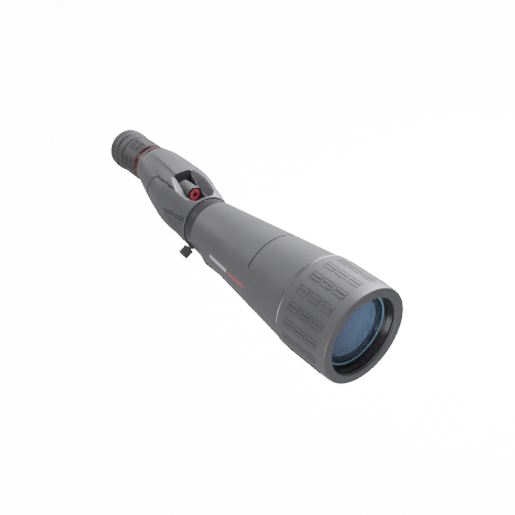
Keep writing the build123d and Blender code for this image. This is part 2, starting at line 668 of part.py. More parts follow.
def focus_knob():
    journal_rear = TROUGH_REAR + TROUGH_WALL
    rod_bore = PUSH_ROD_RADIUS + RUNNING
    height = KNOB_HEIGHT
    cap_rear = KNOB_STATION + KNOB_CAP_DEPTH
    core = turned([
        (0, cap_rear), (KNOB_CORE_RADIUS, cap_rear), (KNOB_CORE_RADIUS, KNOB_REAR),
        (JOURNAL_RADIUS, KNOB_REAR), (JOURNAL_RADIUS, journal_rear),
        (rod_bore, journal_rear), (rod_bore, journal_rear - PUSH_ROD_GRIP - 2 * FOCUS_TRAVEL),
        (0, journal_rear - PUSH_ROD_GRIP - 2 * FOCUS_TRAVEL),
    ], height)
    screw_depth = KNOB_CAP_DEPTH + 3
    core -= rod(KNOB_STATION, KNOB_STATION + screw_depth, KNOB_CAP_BORE / 2, height=height)
    save("focus_knob_core", core)

    rim = KNOB_STATION + KNOB_RIM_LENGTH
    grip = ring(rim, KNOB_REAR, KNOB_RADIUS, KNOB_CORE_RADIUS)
    grip = fluted(grip, KNOB_RIBS, KNOB_RADIUS, KNOB_RIB_DEPTH, rim, KNOB_REAR)
    save("focus_knob_grip", Pos(0, 0, height) * grip)
    save("focus_knob_rim", ring(KNOB_STATION, rim, KNOB_RADIUS, KNOB_CORE_RADIUS, height))
    save("focus_knob_cap", ring(KNOB_STATION, cap_rear, KNOB_CAP_RADIUS, KNOB_CAP_BORE, height))
    head = rod(KNOB_STATION + KNOB_CAP_DEPTH / 3, cap_rear, KNOB_CAP_BORE, height=height)
    shank = rod(cap_rear, KNOB_STATION + screw_depth, KNOB_CAP_BORE / 2, height=height)
    save("focus_knob_screw", head + shank)

    bush_bore = JOURNAL_RADIUS + RUNNING
    save("focus_bush", ring(TROUGH_REAR, journal_rear, bush_bore + BUSH_WALL, bush_bore, height))


# ---- Prisms and focusing sled ------------------------------------------------------------

def prism(face_station, toward, lean, middle):
    """Right-angle prism on its long face: toward is +1 for a ridge to the rear, -1 ahead."""
    depth = PRISM_HALF_LENGTH - PRISM_RIDGE_CUT
    half = PRISM_HALF_LENGTH
    outline = make_face(Polyline(
        (-half, 0), (half, 0), (PRISM_RIDGE_CUT, toward * depth),
        (-PRISM_RIDGE_CUT, toward * depth), close=True))
    wedge = extrude(outline, PRISM_APERTURE / 2, both=True)
    return Pos(middle[0], face_station, middle[1]) * Rot(0, lean, 0) * wedge


def link(start, end, half_width, front, rear):
    """Flat bar with round ends between two (side, height) places."""
    length = math.dist(start, end)
    lean = math.degrees(math.atan2(end[1] - start[1], end[0] - start[0]))
    bar = Pos(length / 2, 0, 0) * Box(length, rear - front, 2 * half_width)
    bar = Pos(start[0], (front + rear) / 2, start[1]) * Rot(0, -lean, 0) * bar
    ends = [rod(front, rear, half_width, side, height) for side, height in (start, end)]
    return bar + ends


def prisms(inside):
    shift = EYEPIECE_RISE / 2
    transfer = (-shift, shift)               # beam between the two prisms
    entry = (0, 0)
    leave = (0, EYEPIECE_RISE)
    first_middle = (-shift / 2, shift / 2)
    second_middle = (-shift / 2, 1.5 * shift)

    moving = prism(MOVING_PRISM_FACE, -1, -45, second_middle)
    fixed = prism(FIXED_PRISM_FACE, 1, 45, first_middle)
    roomy = housing_body(HOUSING_ARMOUR + HOUSING_WALL + PLATE_MARGIN,
                         HOUSING_END_WALL, HOUSING_END_WALL)
    save("moving_prism", moving & roomy)
    save("fixed_prism", fixed & roomy)

    wide = 3 * HOUSING_FRONT_RADIUS
    sled = block(MOVING_PRISM_FACE, SLED_REAR, -wide, wide, -wide, wide) & roomy
    bracket = block(BRACKET_FRONT, FIXED_PRISM_FACE, -wide, wide, -wide, wide) & inside
    for side, height in (transfer, leave, entry):
        sled -= rod(MOVING_PRISM_FACE - 1, SLED_REAR + 1, WINDOW_RADIUS, side, height)
        bracket -= rod(BRACKET_FRONT - 1, FIXED_PRISM_FACE + 1, WINDOW_RADIUS, side, height)

    knob_axis = (0, KNOB_HEIGHT)
    elbow = (ARM_SIDE, KNOB_HEIGHT)
    arm_rear = ARM_FRONT + ARM_THICKNESS
    arm = link(knob_axis, elbow, ARM_HALF_WIDTH, ARM_FRONT, arm_rear)
    bar = block(ARM_FRONT, SLED_REAR, ARM_SIDE - 1, ARM_SIDE + 2,
                KNOB_HEIGHT - ARM_HALF_WIDTH, KNOB_HEIGHT + ARM_HALF_WIDTH)
    rod_front = TROUGH_REAR + TROUGH_WALL - PUSH_ROD_GRIP
    rod_hole = rod(ARM_FRONT - 1, arm_rear + 1, PUSH_ROD_RADIUS / 2, height=KNOB_HEIGHT)
    sled = sled + bar + arm - rod_hole
    push_rod = rod(rod_front, ARM_FRONT, PUSH_ROD_RADIUS, height=KNOB_HEIGHT)
    push_rod += rod(ARM_FRONT, arm_rear, PUSH_ROD_RADIUS / 2, height=KNOB_HEIGHT)
    save("focus_push_rod", push_rod)

    guide_front = FIXED_PRISM_FACE - GUIDE_ROD_LENGTH
    guides = []
    for side, height in GUIDE_ROD_PLACES:
        guides.append(rod(guide_front, FIXED_PRISM_FACE, GUIDE_ROD_RADIUS, side, height))
        sled -= rod(MOVING_PRISM_FACE - 1, SLED_REAR + 1, GUIDE_ROD_RADIUS + RUNNING, side, height)
        bracket -= rod(BRACKET_FRONT - 1, FIXED_PRISM_FACE + 1, GUIDE_ROD_RADIUS, side, height)
    save("focus_sled", sled)
    save("prism_bracket", bracket)
    save("guide_rods", *guides)


# ---- Eyepiece ----------------------------------------------------------------------------

def eye_ring(front, rear, outer, inner):
    return ring(front, rear, outer, inner, EYEPIECE_RISE)


def eye_spoke(station, angle, inner, outer, radius):
    """Round bar out from the eyepiece axis; angle is about +Y, from +X towards -Z."""
    return Pos(0, station, EYEPIECE_RISE) * Rot(0, angle, 0) * spoke(inner, outer, radius)


def eyepiece():
    save("eyepiece_seat", eye_ring(SEAT_FRONT, SEAT_REAR, SEAT_RADIUS, EYE_TUBE_RADIUS))
    first = SEAT_FRONT + ACCENT_INSET
    second = SEAT_REAR - ACCENT_INSET - ACCENT_LENGTH
    save("accent_rings", *[
        eye_ring(front, front + ACCENT_LENGTH, ACCENT_RADIUS, SEAT_RADIUS)
        for front in (first, second)])

    # Fixed tube, with the slot that the drive screw swings in.
    tube_front = HOUSING_REAR - HOUSING_END_WALL
    tube = eye_ring(tube_front, EYE_TUBE_END, EYE_TUBE_RADIUS, EYE_TUBE_BORE)
    screw_angle = 90                                  # straight down
    half = DRIVE_SCREW_RADIUS + PIN_SLOT_PLAY
    swing = make_face(Polyline(
        (EYE_TUBE_BORE - 1, DRIVE_SCREW_STATION - half),
        (EYE_TUBE_RADIUS + 1, DRIVE_SCREW_STATION - half),
        (EYE_TUBE_RADIUS + 1, DRIVE_SCREW_STATION + half),
        (EYE_TUBE_BORE - 1, DRIVE_SCREW_STATION + half), close=True))
    slot = revolve(swing, Axis.Y, ZOOM_TURN)
    tube -= Pos(0, 0, EYEPIECE_RISE) * Rot(0, screw_angle, 0) * slot
    for angle in (screw_angle, screw_angle + ZOOM_TURN):
        tube -= eye_spoke(DRIVE_SCREW_STATION, angle, EYE_TUBE_BORE - 1, EYE_TUBE_RADIUS + 1, half)
    save("eyepiece_tube", tube)

    guide_front = tube_front
    guide = turned([
        (GUIDE_BORE, guide_front), (EYE_TUBE_BORE, guide_front),
        (EYE_TUBE_BORE, CAM_FRONT - PARTING), (GUIDE_RADIUS, CAM_FRONT - PARTING),
        (GUIDE_RADIUS, GUIDE_TUBE_REAR), (GUIDE_BORE, GUIDE_TUBE_REAR),
    ], EYEPIECE_RISE)
    cam = eye_ring(CAM_FRONT, CAM_REAR, CAM_RADIUS, CAM_BORE)
    slot_radius = GROUP_PIN_RADIUS + PIN_SLOT_PLAY
    names = ("zoom_front_group", "zoom_rear_group")
    for name, base, shift, pin_angle in zip(names, GROUP_STATIONS, GROUP_SHIFTS, (0, 180)):
        # Straight slot in the guide tube, and a helical one in the cam sleeve.
        low = min(base, base + shift)
        high = max(base, base + shift)
        straight = block(low, high, GUIDE_BORE - 1, GUIDE_RADIUS + RUNNING / 2,
                         -slot_radius, slot_radius)
        guide -= Pos(0, 0, EYEPIECE_RISE) * Rot(0, pin_angle, 0) * straight
        for station in (low, high):
            guide -= eye_spoke(station, pin_angle, GUIDE_BORE - 1, GUIDE_RADIUS + RUNNING / 2,
                               slot_radius)
        steps = [step / SLOT_STEPS for step in range(SLOT_STEPS + 1)]
        cam -= [
            eye_spoke(base + part * shift, pin_angle - part * ZOOM_TURN,
                      CAM_BORE - 1, CAM_RADIUS + 1, slot_radius)
            for part in steps]
        front = base - GROUP_LENGTH / 2
        cell_bore = GROUP_RADIUS - GROUP_WALL
        pin = eye_spoke(base, pin_angle, cell_bore + GROUP_WALL / 2,
                        CAM_RADIUS - PIN_SLOT_PLAY, GROUP_PIN_RADIUS)
        cell = eye_ring(front, front + GROUP_LENGTH, GROUP_RADIUS, cell_bore) + pin
        save(name + "_cell", cell)
        half_edge = GROUP_LENS_EDGE / 2
        save(name + "_lens", lens(base - half_edge, base + half_edge, cell_bore, LENS_RIM,
                                  GROUP_LENS_BULGE, GROUP_LENS_BULGE, EYEPIECE_RISE))
    save("zoom_guide_tube", guide)

    drive = eye_spoke(DRIVE_SCREW_STATION, screw_angle, CAM_BORE, ZOOM_CORE_RADIUS,
                      DRIVE_SCREW_RADIUS)
    drive_hole = eye_spoke(DRIVE_SCREW_STATION, screw_angle, CAM_BORE - 1, ZOOM_CORE_RADIUS + 1,
                           DRIVE_SCREW_RADIUS)
    trim = eye_ring(CAM_FRONT, CAM_REAR, ZOOM_CORE_RADIUS, CAM_BORE)
    save("zoom_drive_screw", drive & trim)
    save("zoom_cam_sleeve", cam - drive_hole)
    core = eye_ring(ZOOM_FRONT, ZOOM_REAR, ZOOM_CORE_RADIUS, ZOOM_BORE)
    save("zoom_ring_core", core - drive_hole)
    grip = ring(ZOOM_FRONT, ZOOM_REAR, ZOOM_RADIUS, ZOOM_CORE_RADIUS)
    grip = fluted(grip, ZOOM_RIBS, ZOOM_RADIUS, ZOOM_RIB_DEPTH, ZOOM_FRONT + 4, ZOOM_REAR - 4)
    save("zoom_ring_grip", Pos(0, 0, EYEPIECE_RISE) * grip)

    stop_rear = guide_front + 2
    save("field_stop", eye_ring(guide_front, stop_rear, GUIDE_BORE, FIELD_STOP_BORE))

    cell_front = EYE_TUBE_END - EYE_CELL_LENGTH
    cell_bore = EYE_LENS_RADIUS
    ledge = EYE_LENS_RADIUS - LENS_RIM
    lens_front = cell_front + 3
    lens_rear = lens_front + EYE_LENS_EDGE
    save("eye_lens_cell", turned([
        (ledge, cell_front), (EYE_TUBE_BORE, cell_front), (EYE_TUBE_BORE, EYE_TUBE_END),
        (cell_bore + 1.5, EYE_TUBE_END), (cell_bore, EYE_TUBE_END - 3), (cell_bore, lens_front),
        (ledge, lens_front),
    ], EYEPIECE_RISE))
    save("eye_lens", lens(lens_front, lens_rear, EYE_LENS_RADIUS, LENS_RIM,
                          EYE_LENS_BULGE, EYE_LENS_BULGE, EYEPIECE_RISE))


# ---- Eyecup ------------------------------------------------------------------------------

def eyecup():
    runner_bore = EYE_TUBE_RADIUS + RUNNING
    runner_rear = RUNNER_FRONT + RUNNER_LENGTH
    save("eyecup_runner", eye_ring(RUNNER_FRONT, runner_rear, RUNNER_RADIUS, runner_bore))
    core_rear = EYECUP_END - EYECUP_LIP
    save("eyecup_core", eye_ring(EYECUP_FRONT, core_rear, EYECUP_CORE_RADIUS, EYECUP_BORE))
    half_step = (EYECUP_RADIUS - EYECUP_WAIST) / 2
    middle = (EYECUP_STEP_STATION + EYECUP_END) / 2
    rubber = turned([
        (EYECUP_CORE_RADIUS, EYECUP_FRONT), (EYECUP_WAIST - half_step, EYECUP_FRONT),
        (EYECUP_WAIST, EYECUP_FRONT + half_step), (EYECUP_WAIST, EYECUP_STEP_STATION),
        (EYECUP_WAIST + half_step, EYECUP_STEP_STATION), (EYECUP_WAIST + half_step, middle),
        (EYECUP_RADIUS, middle), (EYECUP_RADIUS, EYECUP_END - EYECUP_LIP),
        (EYECUP_RADIUS - half_step, EYECUP_END), (EYECUP_MOUTH + half_step, EYECUP_END),
        (EYECUP_MOUTH, EYECUP_END - half_step), (EYECUP_MOUTH, core_rear),
        (EYECUP_CORE_RADIUS, core_rear),
    ], EYEPIECE_RISE)
    save("eyecup_rubber", rubber)


sunshade()
barrel()
objective()
tripod_mount()
housing_inside = housing()
focus_knob()
prisms(housing_inside)
eyepiece()
eyecup()
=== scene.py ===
import json
import math

import bmesh
import bpy
import numpy as np
from mathutils import Matrix, Vector


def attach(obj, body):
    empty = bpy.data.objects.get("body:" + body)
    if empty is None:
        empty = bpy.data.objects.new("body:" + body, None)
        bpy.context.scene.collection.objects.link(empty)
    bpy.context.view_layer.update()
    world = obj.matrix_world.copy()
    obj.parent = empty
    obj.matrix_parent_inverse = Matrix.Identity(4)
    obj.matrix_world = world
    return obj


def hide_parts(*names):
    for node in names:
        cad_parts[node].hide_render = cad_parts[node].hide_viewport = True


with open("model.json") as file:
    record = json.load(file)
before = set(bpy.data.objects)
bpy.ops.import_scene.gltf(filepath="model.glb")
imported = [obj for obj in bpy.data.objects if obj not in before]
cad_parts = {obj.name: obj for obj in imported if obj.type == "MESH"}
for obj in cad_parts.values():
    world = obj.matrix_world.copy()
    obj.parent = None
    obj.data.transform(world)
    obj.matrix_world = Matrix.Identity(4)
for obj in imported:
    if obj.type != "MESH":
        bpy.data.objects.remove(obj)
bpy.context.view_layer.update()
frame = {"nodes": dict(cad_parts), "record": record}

MM = 0.001
SOCKET_STATION = 222.0
AXIS_HEIGHT = 48.0
EYE_AXIS = 29.1
KNOB_AXIS = 28.2


def place(side, station, height):
    """Point of the CAD's layout, in the part's frame, in metres."""
    return (side * MM, (station - SOCKET_STATION) * MM, (height + AXIS_HEIGHT) * MM)


def fade(value, low, high):
    """Smooth step from 0 at low to 1 at high."""
    share = min(1.0, max(0.0, (value - low) / (high - low)))
    return share * share * (3 - 2 * share)


# ---- Mesh building -----------------------------------------------------------------------

def add_piece(name, corners, faces, body, materials, stands_for=(), crease=34.0,
              finish_of=None, painted_shade_values=None):
    """New mesh piece that rides on a CAD body, smooth shaded with sharp creases.

    The painted shade is one number per corner, from 0 for none to 1 for the darkest, laid into
    crevices and grooves."""
    mesh = bpy.data.meshes.new(name)
    mesh.from_pydata(corners, [], faces)
    if painted_shade_values is not None:
        mesh.attributes.new("painted_crevice_shade", "FLOAT", "POINT").data.foreach_set("value", painted_shade_values)
    shape = bmesh.new()
    shape.from_mesh(mesh)
    bmesh.ops.remove_doubles(shape, verts=shape.verts, dist=1e-7)
    bmesh.ops.recalc_face_normals(shape, faces=shape.faces)
    shape.to_mesh(mesh)
    shape.free()
    mesh.shade_smooth()
    mesh.set_sharp_from_angle(angle=math.radians(crease))
    for material in materials:
        mesh.materials.append(material)
    if finish_of is not None:
        for face in mesh.polygons:
            face.material_index = finish_of(face.center / MM)
    piece = bpy.data.objects.new(name, mesh)
    bpy.context.scene.collection.objects.link(piece)
    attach(piece, body)
    if stands_for:
        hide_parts(*stands_for)
    return piece


CORNER_SHARE = 0.4            # most of a side that the round at its end may take
SUPPORT_REACH = 1.15          # support points, as a share of the round's reach


def softened(outline, radius, arcs=4):
    """Closed outline with rounded corners, and support points where each arc ends."""
    result = []
    count = len(outline)
    for index, corner in enumerate(outline):
        middle = Vector(corner)
        if middle.x < 1e-6:
            result.append(middle)
            continue
        back = Vector(outline[index - 1]) - middle
        ahead = Vector(outline[(index + 1) % count]) - middle
        reach = min(radius, CORNER_SHARE * back.length, CORNER_SHARE * ahead.length)
        start = middle + back.normalized() * reach
        end = middle + ahead.normalized() * reach
        result.append(middle + back.normalized() * reach * SUPPORT_REACH)
        for step in range(arcs + 1):
            t = step / arcs
            result.append((1 - t) ** 2 * start + 2 * t * (1 - t) * middle + t * t * end)
        result.append(middle + ahead.normalized() * reach * SUPPORT_REACH)
    return result


def lathe_mesh(outline, height, steps, relief=None, shade=None):
    """Corners, faces and painted shade of a closed outline of (radius, station) turned about Y."""
    corners, rings, painted_shade_values = [], [], []
    for radius, station in outline:
        if radius < 1e-6:
            rings.append([len(corners)] * steps)
            corners.append(place(0, station, height))
            painted_shade_values.append(0.0)
            continue
        rings.append(range(len(corners), len(corners) + steps))
        for step in range(steps):
            angle = 2 * math.pi * step / steps
            reach = radius + (relief(radius, station, angle) if relief else 0.0)
            painted_shade_values.append(shade(reach, station, angle) if shade else 0.0)
            corners.append(place(-reach * math.sin(angle), station,
                                 height + reach * math.cos(angle)))
    faces = []
    for ring, following in zip(rings, rings[1:] + rings[:1]):
        for step in range(steps):
            after = (step + 1) % steps
            loop = [ring[step], ring[after], following[after], following[step]]
            face = list(dict.fromkeys(loop))
            if len(face) > 2:
                faces.append(face)
    return corners, faces, painted_shade_values


def lathe(name, outlines, body, materials, stands_for=(), height=0.0, steps=180,
          relief=None, crease=34.0, finish_of=None, shade=None):
    """Piece made of one or more turned rings."""
    corners, faces, painted_shade_values = [], [], []
    for outline in outlines:
        more, rings, dark = lathe_mesh(outline, height, steps, relief, shade)
        faces += [[index + len(corners) for index in face] for face in rings]
        corners += more
        painted_shade_values += dark
    return add_piece(name, corners, faces, body, materials, stands_for, crease, finish_of,
                     painted_shade_values)


# ---- Materials ---------------------------------------------------------------------------

MIX_FACTOR, MIX_FIRST, MIX_SECOND = 0, 6, 7      # colour sockets of the Mix node
MIX_COLOUR = 2


class Finish:
    """Node tree of one material: small helpers round a Principled shader."""

    def __init__(self, name):
        self.material = bpy.data.materials.new(name)
        self.material.use_nodes = True
        self.tree = self.material.node_tree
        self.shader = self.tree.nodes["Principled BSDF"]
        self.place = self.tree.nodes.new("ShaderNodeTexCoord").outputs["Object"]

    def node(self, kind, **values):
        """New node, with its inputs or its settings given by name."""
        made = self.tree.nodes.new(kind)
        for name, value in values.items():
            if name in made.inputs:
                made.inputs[name].default_value = value
            else:
                setattr(made, name, value)
        return made

    def link(self, source, target):
        self.tree.links.new(source, target)

    def noise(self, scale, detail=4.0, rough=0.55, stretch=None):
        """Noise in the object's own space, stretched along an axis if asked."""
        place = self.place
        if stretch:
            mapping = self.node("ShaderNodeMapping")
            mapping.inputs["Scale"].default_value = stretch
            self.link(place, mapping.inputs["Vector"])
            place = mapping.outputs["Vector"]
        made = self.node("ShaderNodeTexNoise", Scale=scale, Detail=detail, Roughness=rough)
        self.link(place, made.inputs["Vector"])
        return made.outputs["Fac"]

    def ramp(self, source, low, high, start, end):
        """Source mapped from low..high to start..end, both numbers or both colours."""
        made = self.node("ShaderNodeMapRange")
        if isinstance(start, tuple):
            made.inputs["From Min"].default_value = low
            made.inputs["From Max"].default_value = high
            self.link(source, made.inputs["Value"])
            mix = self.node("ShaderNodeMix", data_type="RGBA")
            mix.inputs[MIX_FIRST].default_value = (*start, 1)
            mix.inputs[MIX_SECOND].default_value = (*end, 1)
            self.link(made.outputs["Result"], mix.inputs[MIX_FACTOR])
            return mix.outputs[MIX_COLOUR]
        for name, value in (("From Min", low), ("From Max", high), ("To Min", start),
                            ("To Max", end)):
            made.inputs[name].default_value = value
        self.link(source, made.inputs["Value"])
        return made.outputs["Result"]

    def edges(self, radius):
        """Mask of convex edges: how far a rounded normal leans from the true one."""
        bevel = self.node("ShaderNodeBevel", samples=3)
        bevel.inputs["Radius"].default_value = radius
        geometry = self.node("ShaderNodeNewGeometry")
        dot = self.node("ShaderNodeVectorMath", operation="DOT_PRODUCT")
        self.link(bevel.outputs["Normal"], dot.inputs[0])
        self.link(geometry.outputs["Normal"], dot.inputs[1])
        return self.ramp(dot.outputs["Value"], 0.97, 0.8, 0.0, 1.0)

    def mix(self, factor, first, second):
        """Two colours mixed by a factor; the second may be a plain colour."""
        made = self.node("ShaderNodeMix", data_type="RGBA")
        self.link(factor, made.inputs[MIX_FACTOR])
        self.link(first, made.inputs[MIX_FIRST])
        if isinstance(second, tuple):
            made.inputs[MIX_SECOND].default_value = (*second, 1)
        else:
            self.link(second, made.inputs[MIX_SECOND])
        return made.outputs[MIX_COLOUR]

    def bump(self, source, distance, strength=1.0, under=None):
        """Normal bumped by a source, on top of another bump if there is one."""
        made = self.node("ShaderNodeBump", Strength=strength, Distance=distance)
        self.link(source, made.inputs["Height"])
        if under is not None:
            self.link(under, made.inputs["Normal"])
        return made.outputs["Normal"]

    def finish(self, colour, rough, normal, **scalars):
        """Join colour, roughness and normal to the shader, and set its plain values."""
        self.link(colour, self.shader.inputs["Base Color"])
        self.link(rough, self.shader.inputs["Roughness"])
        self.link(normal, self.shader.inputs["Normal"])
        for name, value in scalars.items():
            self.shader.inputs[name.replace("_", " ")].default_value = value
        return self.material


# Painted shade: tone laid into crevices and grooves, as a share of the dark tone.
PAINTED_SHADE_TONE = 0.12           # tone in a crevice, as a share of the dark tone


def moulded(name, dark, light, rough, grain, depth, worn=None, metal=0.0, coat=0.0,
            blotch=18.0, edge=0.0006):
    """Moulded or cast surface: cloudy tone, fine grain, smears of gloss, painted shade in crevices.

    Edges are worn only where a worn colour is given."""
    made = Finish(name)
    cloud = made.noise(blotch, 5.0, 0.6)
    speck = made.noise(grain, 3.0, 0.65)
    colour = made.ramp(cloud, 0.32, 0.68, dark, light)
    shade = made.ramp(speck, 0.3, 0.75, dark, light)
    colour = made.mix(made.ramp(speck, 0.2, 0.8, 0.15, 0.55), colour, shade)
    if worn is not None:
        scuff = made.noise(260.0, 4.0, 0.7)
        rubbed = made.node("ShaderNodeMath", operation="MULTIPLY")
        made.link(made.edges(edge), rubbed.inputs[0])
        made.link(made.ramp(scuff, 0.4, 0.66, 0.0, 0.75), rubbed.inputs[1])
        colour = made.mix(rubbed.outputs[0], colour, worn)
    # Painted shade: darken the colour where the mesh's painted shade attribute says.
    painted_crevice_shade = made.node("ShaderNodeAttribute", attribute_name="painted_crevice_shade")
    colour = made.mix(painted_crevice_shade.outputs["Fac"], colour, tuple(PAINTED_SHADE_TONE * part for part in dark))
    smear = made.noise(34.0, 6.0, 0.6, (1.0, 0.35, 1.0))
    gloss = made.ramp(smear, 0.3, 0.7, rough - 0.06, rough + 0.07)
    normal = made.bump(speck, depth)
    normal = made.bump(made.noise(grain * 3.1, 2.0, 0.5), depth * 0.5, 0.8, normal)
    return made.finish(colour, gloss, normal, Metallic=metal, Coat_Weight=coat,
                       Coat_Roughness=0.18)


armour = moulded("armour_rubber", (0.122, 0.122, 0.132), (0.158, 0.157, 0.172), 0.43, 2600.0,
                 0.00004, worn=(0.26, 0.26, 0.28), coat=0.08)
# Painted shade: a near-black copy of the armour's rubber, laid in the tunnel behind the knob's
# arch.
painted_pocket_shade = moulded("pocket_painted_shade", (0.030, 0.030, 0.032), (0.055, 0.055, 0.058), 0.62, 1500.0,
                 0.00022)
grip_rubber = moulded("grip_rubber", (0.085, 0.086, 0.090), (0.118, 0.118, 0.122), 0.5, 2200.0,
                      0.00006, worn=(0.2, 0.2, 0.21))
# Lighter grey rubber, its tone raised further as painted light because the knob sits in the
# pocket's shade.
knob_rubber_painted_light = moulded("knob_rubber_painted_light", (0.20, 0.20, 0.205), (0.27, 0.27, 0.275), 0.42, 2200.0,
                      0.00004, worn=(0.4, 0.4, 0.41))
collar_metal = moulded("collar_metal", (0.060, 0.060, 0.066), (0.090, 0.090, 0.096), 0.26,
                       2600.0, 0.00002, worn=(0.3, 0.3, 0.31), metal=0.5, coat=0.5)
eye_rubber = moulded("eyecup_rubber", (0.078, 0.079, 0.082), (0.108, 0.108, 0.112), 0.52,
                     2400.0, 0.00005, worn=(0.17, 0.17, 0.18))
dark_plastic = moulded("dark_plastic", (0.008, 0.008, 0.009), (0.018, 0.018, 0.019), 0.38,
                       1800.0, 0.00003, worn=(0.07, 0.07, 0.07))
black_metal = moulded("black_aluminium", (0.010, 0.010, 0.012), (0.022, 0.022, 0.025), 0.34,
                      3200.0, 0.00002, worn=(0.26, 0.26, 0.27), metal=0.35, coat=0.25)
casting = moulded("grey_casting", (0.055, 0.056, 0.060), (0.082, 0.083, 0.088), 0.44, 1900.0,
                  0.00006, worn=(0.3, 0.3, 0.31), metal=0.25, coat=0.1)
red_gloss = moulded("red_gloss", (0.13, 0.010, 0.016), (0.20, 0.016, 0.026), 0.17, 900.0,
                    0.00001, worn=(0.5, 0.2, 0.2), metal=0.6, coat=0.9)
cap_red = moulded("cap_red", (0.80, 0.045, 0.085), (0.92, 0.080, 0.130), 0.3, 1200.0,
                  0.00002, worn=(0.8, 0.4, 0.4), metal=0.1, coat=0.6)
steel = moulded("steel", (0.42, 0.42, 0.43), (0.56, 0.56, 0.57), 0.3, 1400.0, 0.00002,
                worn=(0.75, 0.75, 0.76), metal=1.0)
brass = moulded("brass", (0.55, 0.38, 0.16), (0.68, 0.5, 0.24), 0.32, 1400.0, 0.00002,
                worn=(0.8, 0.65, 0.4), metal=1.0)
seal_rubber = moulded("seal_rubber", (0.010, 0.010, 0.010), (0.020, 0.020, 0.020), 0.5, 1600.0,
                      0.00003)
pale_mark = moulded("pale_mark", (0.60, 0.60, 0.61), (0.74, 0.74, 0.75), 0.4, 1500.0, 0.00001)
red_mark = moulded("red_mark", (0.50, 0.10, 0.12), (0.62, 0.15, 0.17), 0.4, 1500.0, 0.00001)
bead_metal = moulded("bead_metal", (0.26, 0.26, 0.27), (0.36, 0.36, 0.37), 0.22, 1500.0,
                     0.00001, metal=1.0)


def glass(name, tint, coating, density):
    """Coated glass: clear tint, the coating's reflection painted into its colour by how far it
    faces away, and faint dust; opaque at density 0.
    """
    made = Finish(name)
    facing = made.node("ShaderNodeLayerWeight", Blend=0.35)
    painted_coating_reflection = made.ramp(facing.outputs["Facing"], 0.05, 0.75, tint, coating)
    dust = made.noise(700.0, 6.0, 0.75)
    colour = made.mix(made.ramp(dust, 0.66, 0.8, 0.0, 0.12), painted_coating_reflection, (0.7, 0.72, 0.75))
    gloss = made.ramp(made.noise(60.0, 5.0, 0.6), 0.4, 0.8, 0.02, 0.06)
    normal = made.bump(dust, 0.000004)
    made.shader.inputs["Specular Tint"].default_value = (*coating, 1)
    return made.finish(colour, gloss, normal, Transmission_Weight=density,
                       IOR=1.14 if density else 1.5, Coat_Weight=0.0 if density else 0.3,
                       Coat_Roughness=0.03)


lens_glass = glass("coated_glass", (0.86, 0.90, 0.97), (0.70, 0.78, 0.97), 0.94)
rim_glass = glass("rim_glass", (0.16, 0.36, 0.50), (0.30, 0.56, 0.74), 0.0)
deep_glass = glass("deep_glass", (0.006, 0.040, 0.105), (0.012, 0.060, 0.17), 0.0)


def inner_coating():
    """Second lens's coating as a painted reflection: violet across to pale cyan."""
    made = Finish("inner_coating")
    split = made.node("ShaderNodeSeparateXYZ")
    made.link(made.place, split.inputs[0])
    lean = made.node("ShaderNodeMath", operation="ADD")
    made.link(split.outputs["X"], lean.inputs[0])
    across = made.ramp(split.outputs["Z"], 0.0, 0.1, 0.03, -0.03)
    made.link(across, lean.inputs[1])
    painted_coating_reflection = made.ramp(lean.outputs[0], -0.035, 0.045, (0.13, 0.09, 0.34), (0.16, 0.42, 0.56))
    dust = made.noise(700.0, 6.0, 0.75)
    gloss = made.ramp(made.noise(60.0, 5.0, 0.6), 0.4, 0.8, 0.04, 0.09)
    return made.finish(painted_coating_reflection, gloss, made.bump(dust, 0.000004))


inner_glass = inner_coating()
prism_glass = glass("prism_glass", (0.80, 0.88, 0.86), (0.60, 0.70, 0.80), 0.9)

SLOT_FINISH = {
    "armour_rubber": armour, "grip_rubber": grip_rubber, "dark_plastic": dark_plastic,
    "black_aluminium": black_metal, "grey_casting": casting, "red_gloss": red_gloss,
    "steel": steel, "brass": brass, "seal_rubber": seal_rubber, "coated_glass": lens_glass,
    "prism_glass": prism_glass,
}

# CAD nodes that look unlike the rest of their slot in the photo.
SPECIAL_FINISH = {
    "lock_knob": grip_rubber, "tripod_collar": collar_metal, "focus_knob_screw": dark_plastic,
    "tripod_foot": grip_rubber,
}


def dress_cad_nodes():
    """Give every CAD node the finish of its material slot, or the special finish listed for it."""
    for part in frame["record"]["subparts"]:
        mesh = frame["nodes"][part["node"]].data
        mesh.materials.clear()
        slot_finish = SLOT_FINISH[part["material_slot"]]
        mesh.materials.append(SPECIAL_FINISH.get(part["node"], slot_finish))


dress_cad_nodes()

# ---- Sunshade ----------------------------------------------------------------------------

SHADE_RADIUS = 52.0


def sunshade():
    """Armour of the sunshade with its rolled front edge, and the bead behind it."""
    skin = [(41.35, 4.0), (41.35, 0.95), (41.5, 0.5), (41.9, 0.15), (42.5, 0.0), (43.4, 0.02),
            (45.5, 0.04), (48.6, 0.08), (50.2, 0.14), (50.9, 0.35), (51.3, 0.75), (51.5, 1.3),
            (51.62, 2.2), (51.78, 4.0), (51.93, 6.6)]
    skin += [(SHADE_RADIUS, station) for station in (9.4, 30.0, 55.0, 65.4)]
    skin += [(51.98, 65.8), (51.85, 66.1), (51.4, 66.2), (50.0, 66.2), (50.0, 2.0),
             (42.3, 2.0), (42.3, 4.0)]
    lathe("sunshade_skin", [skin], "sunshade", [armour],
          ["sunshade_armour"], steps=288)
    bead = softened([(50.0, 66.25), (51.75, 66.25), (51.75, 68.55), (50.0, 68.55)], 0.55)
    lathe("sunshade_rear_bead", [bead], "sunshade", [bead_metal],
          ["sunshade_bead"], steps=288)


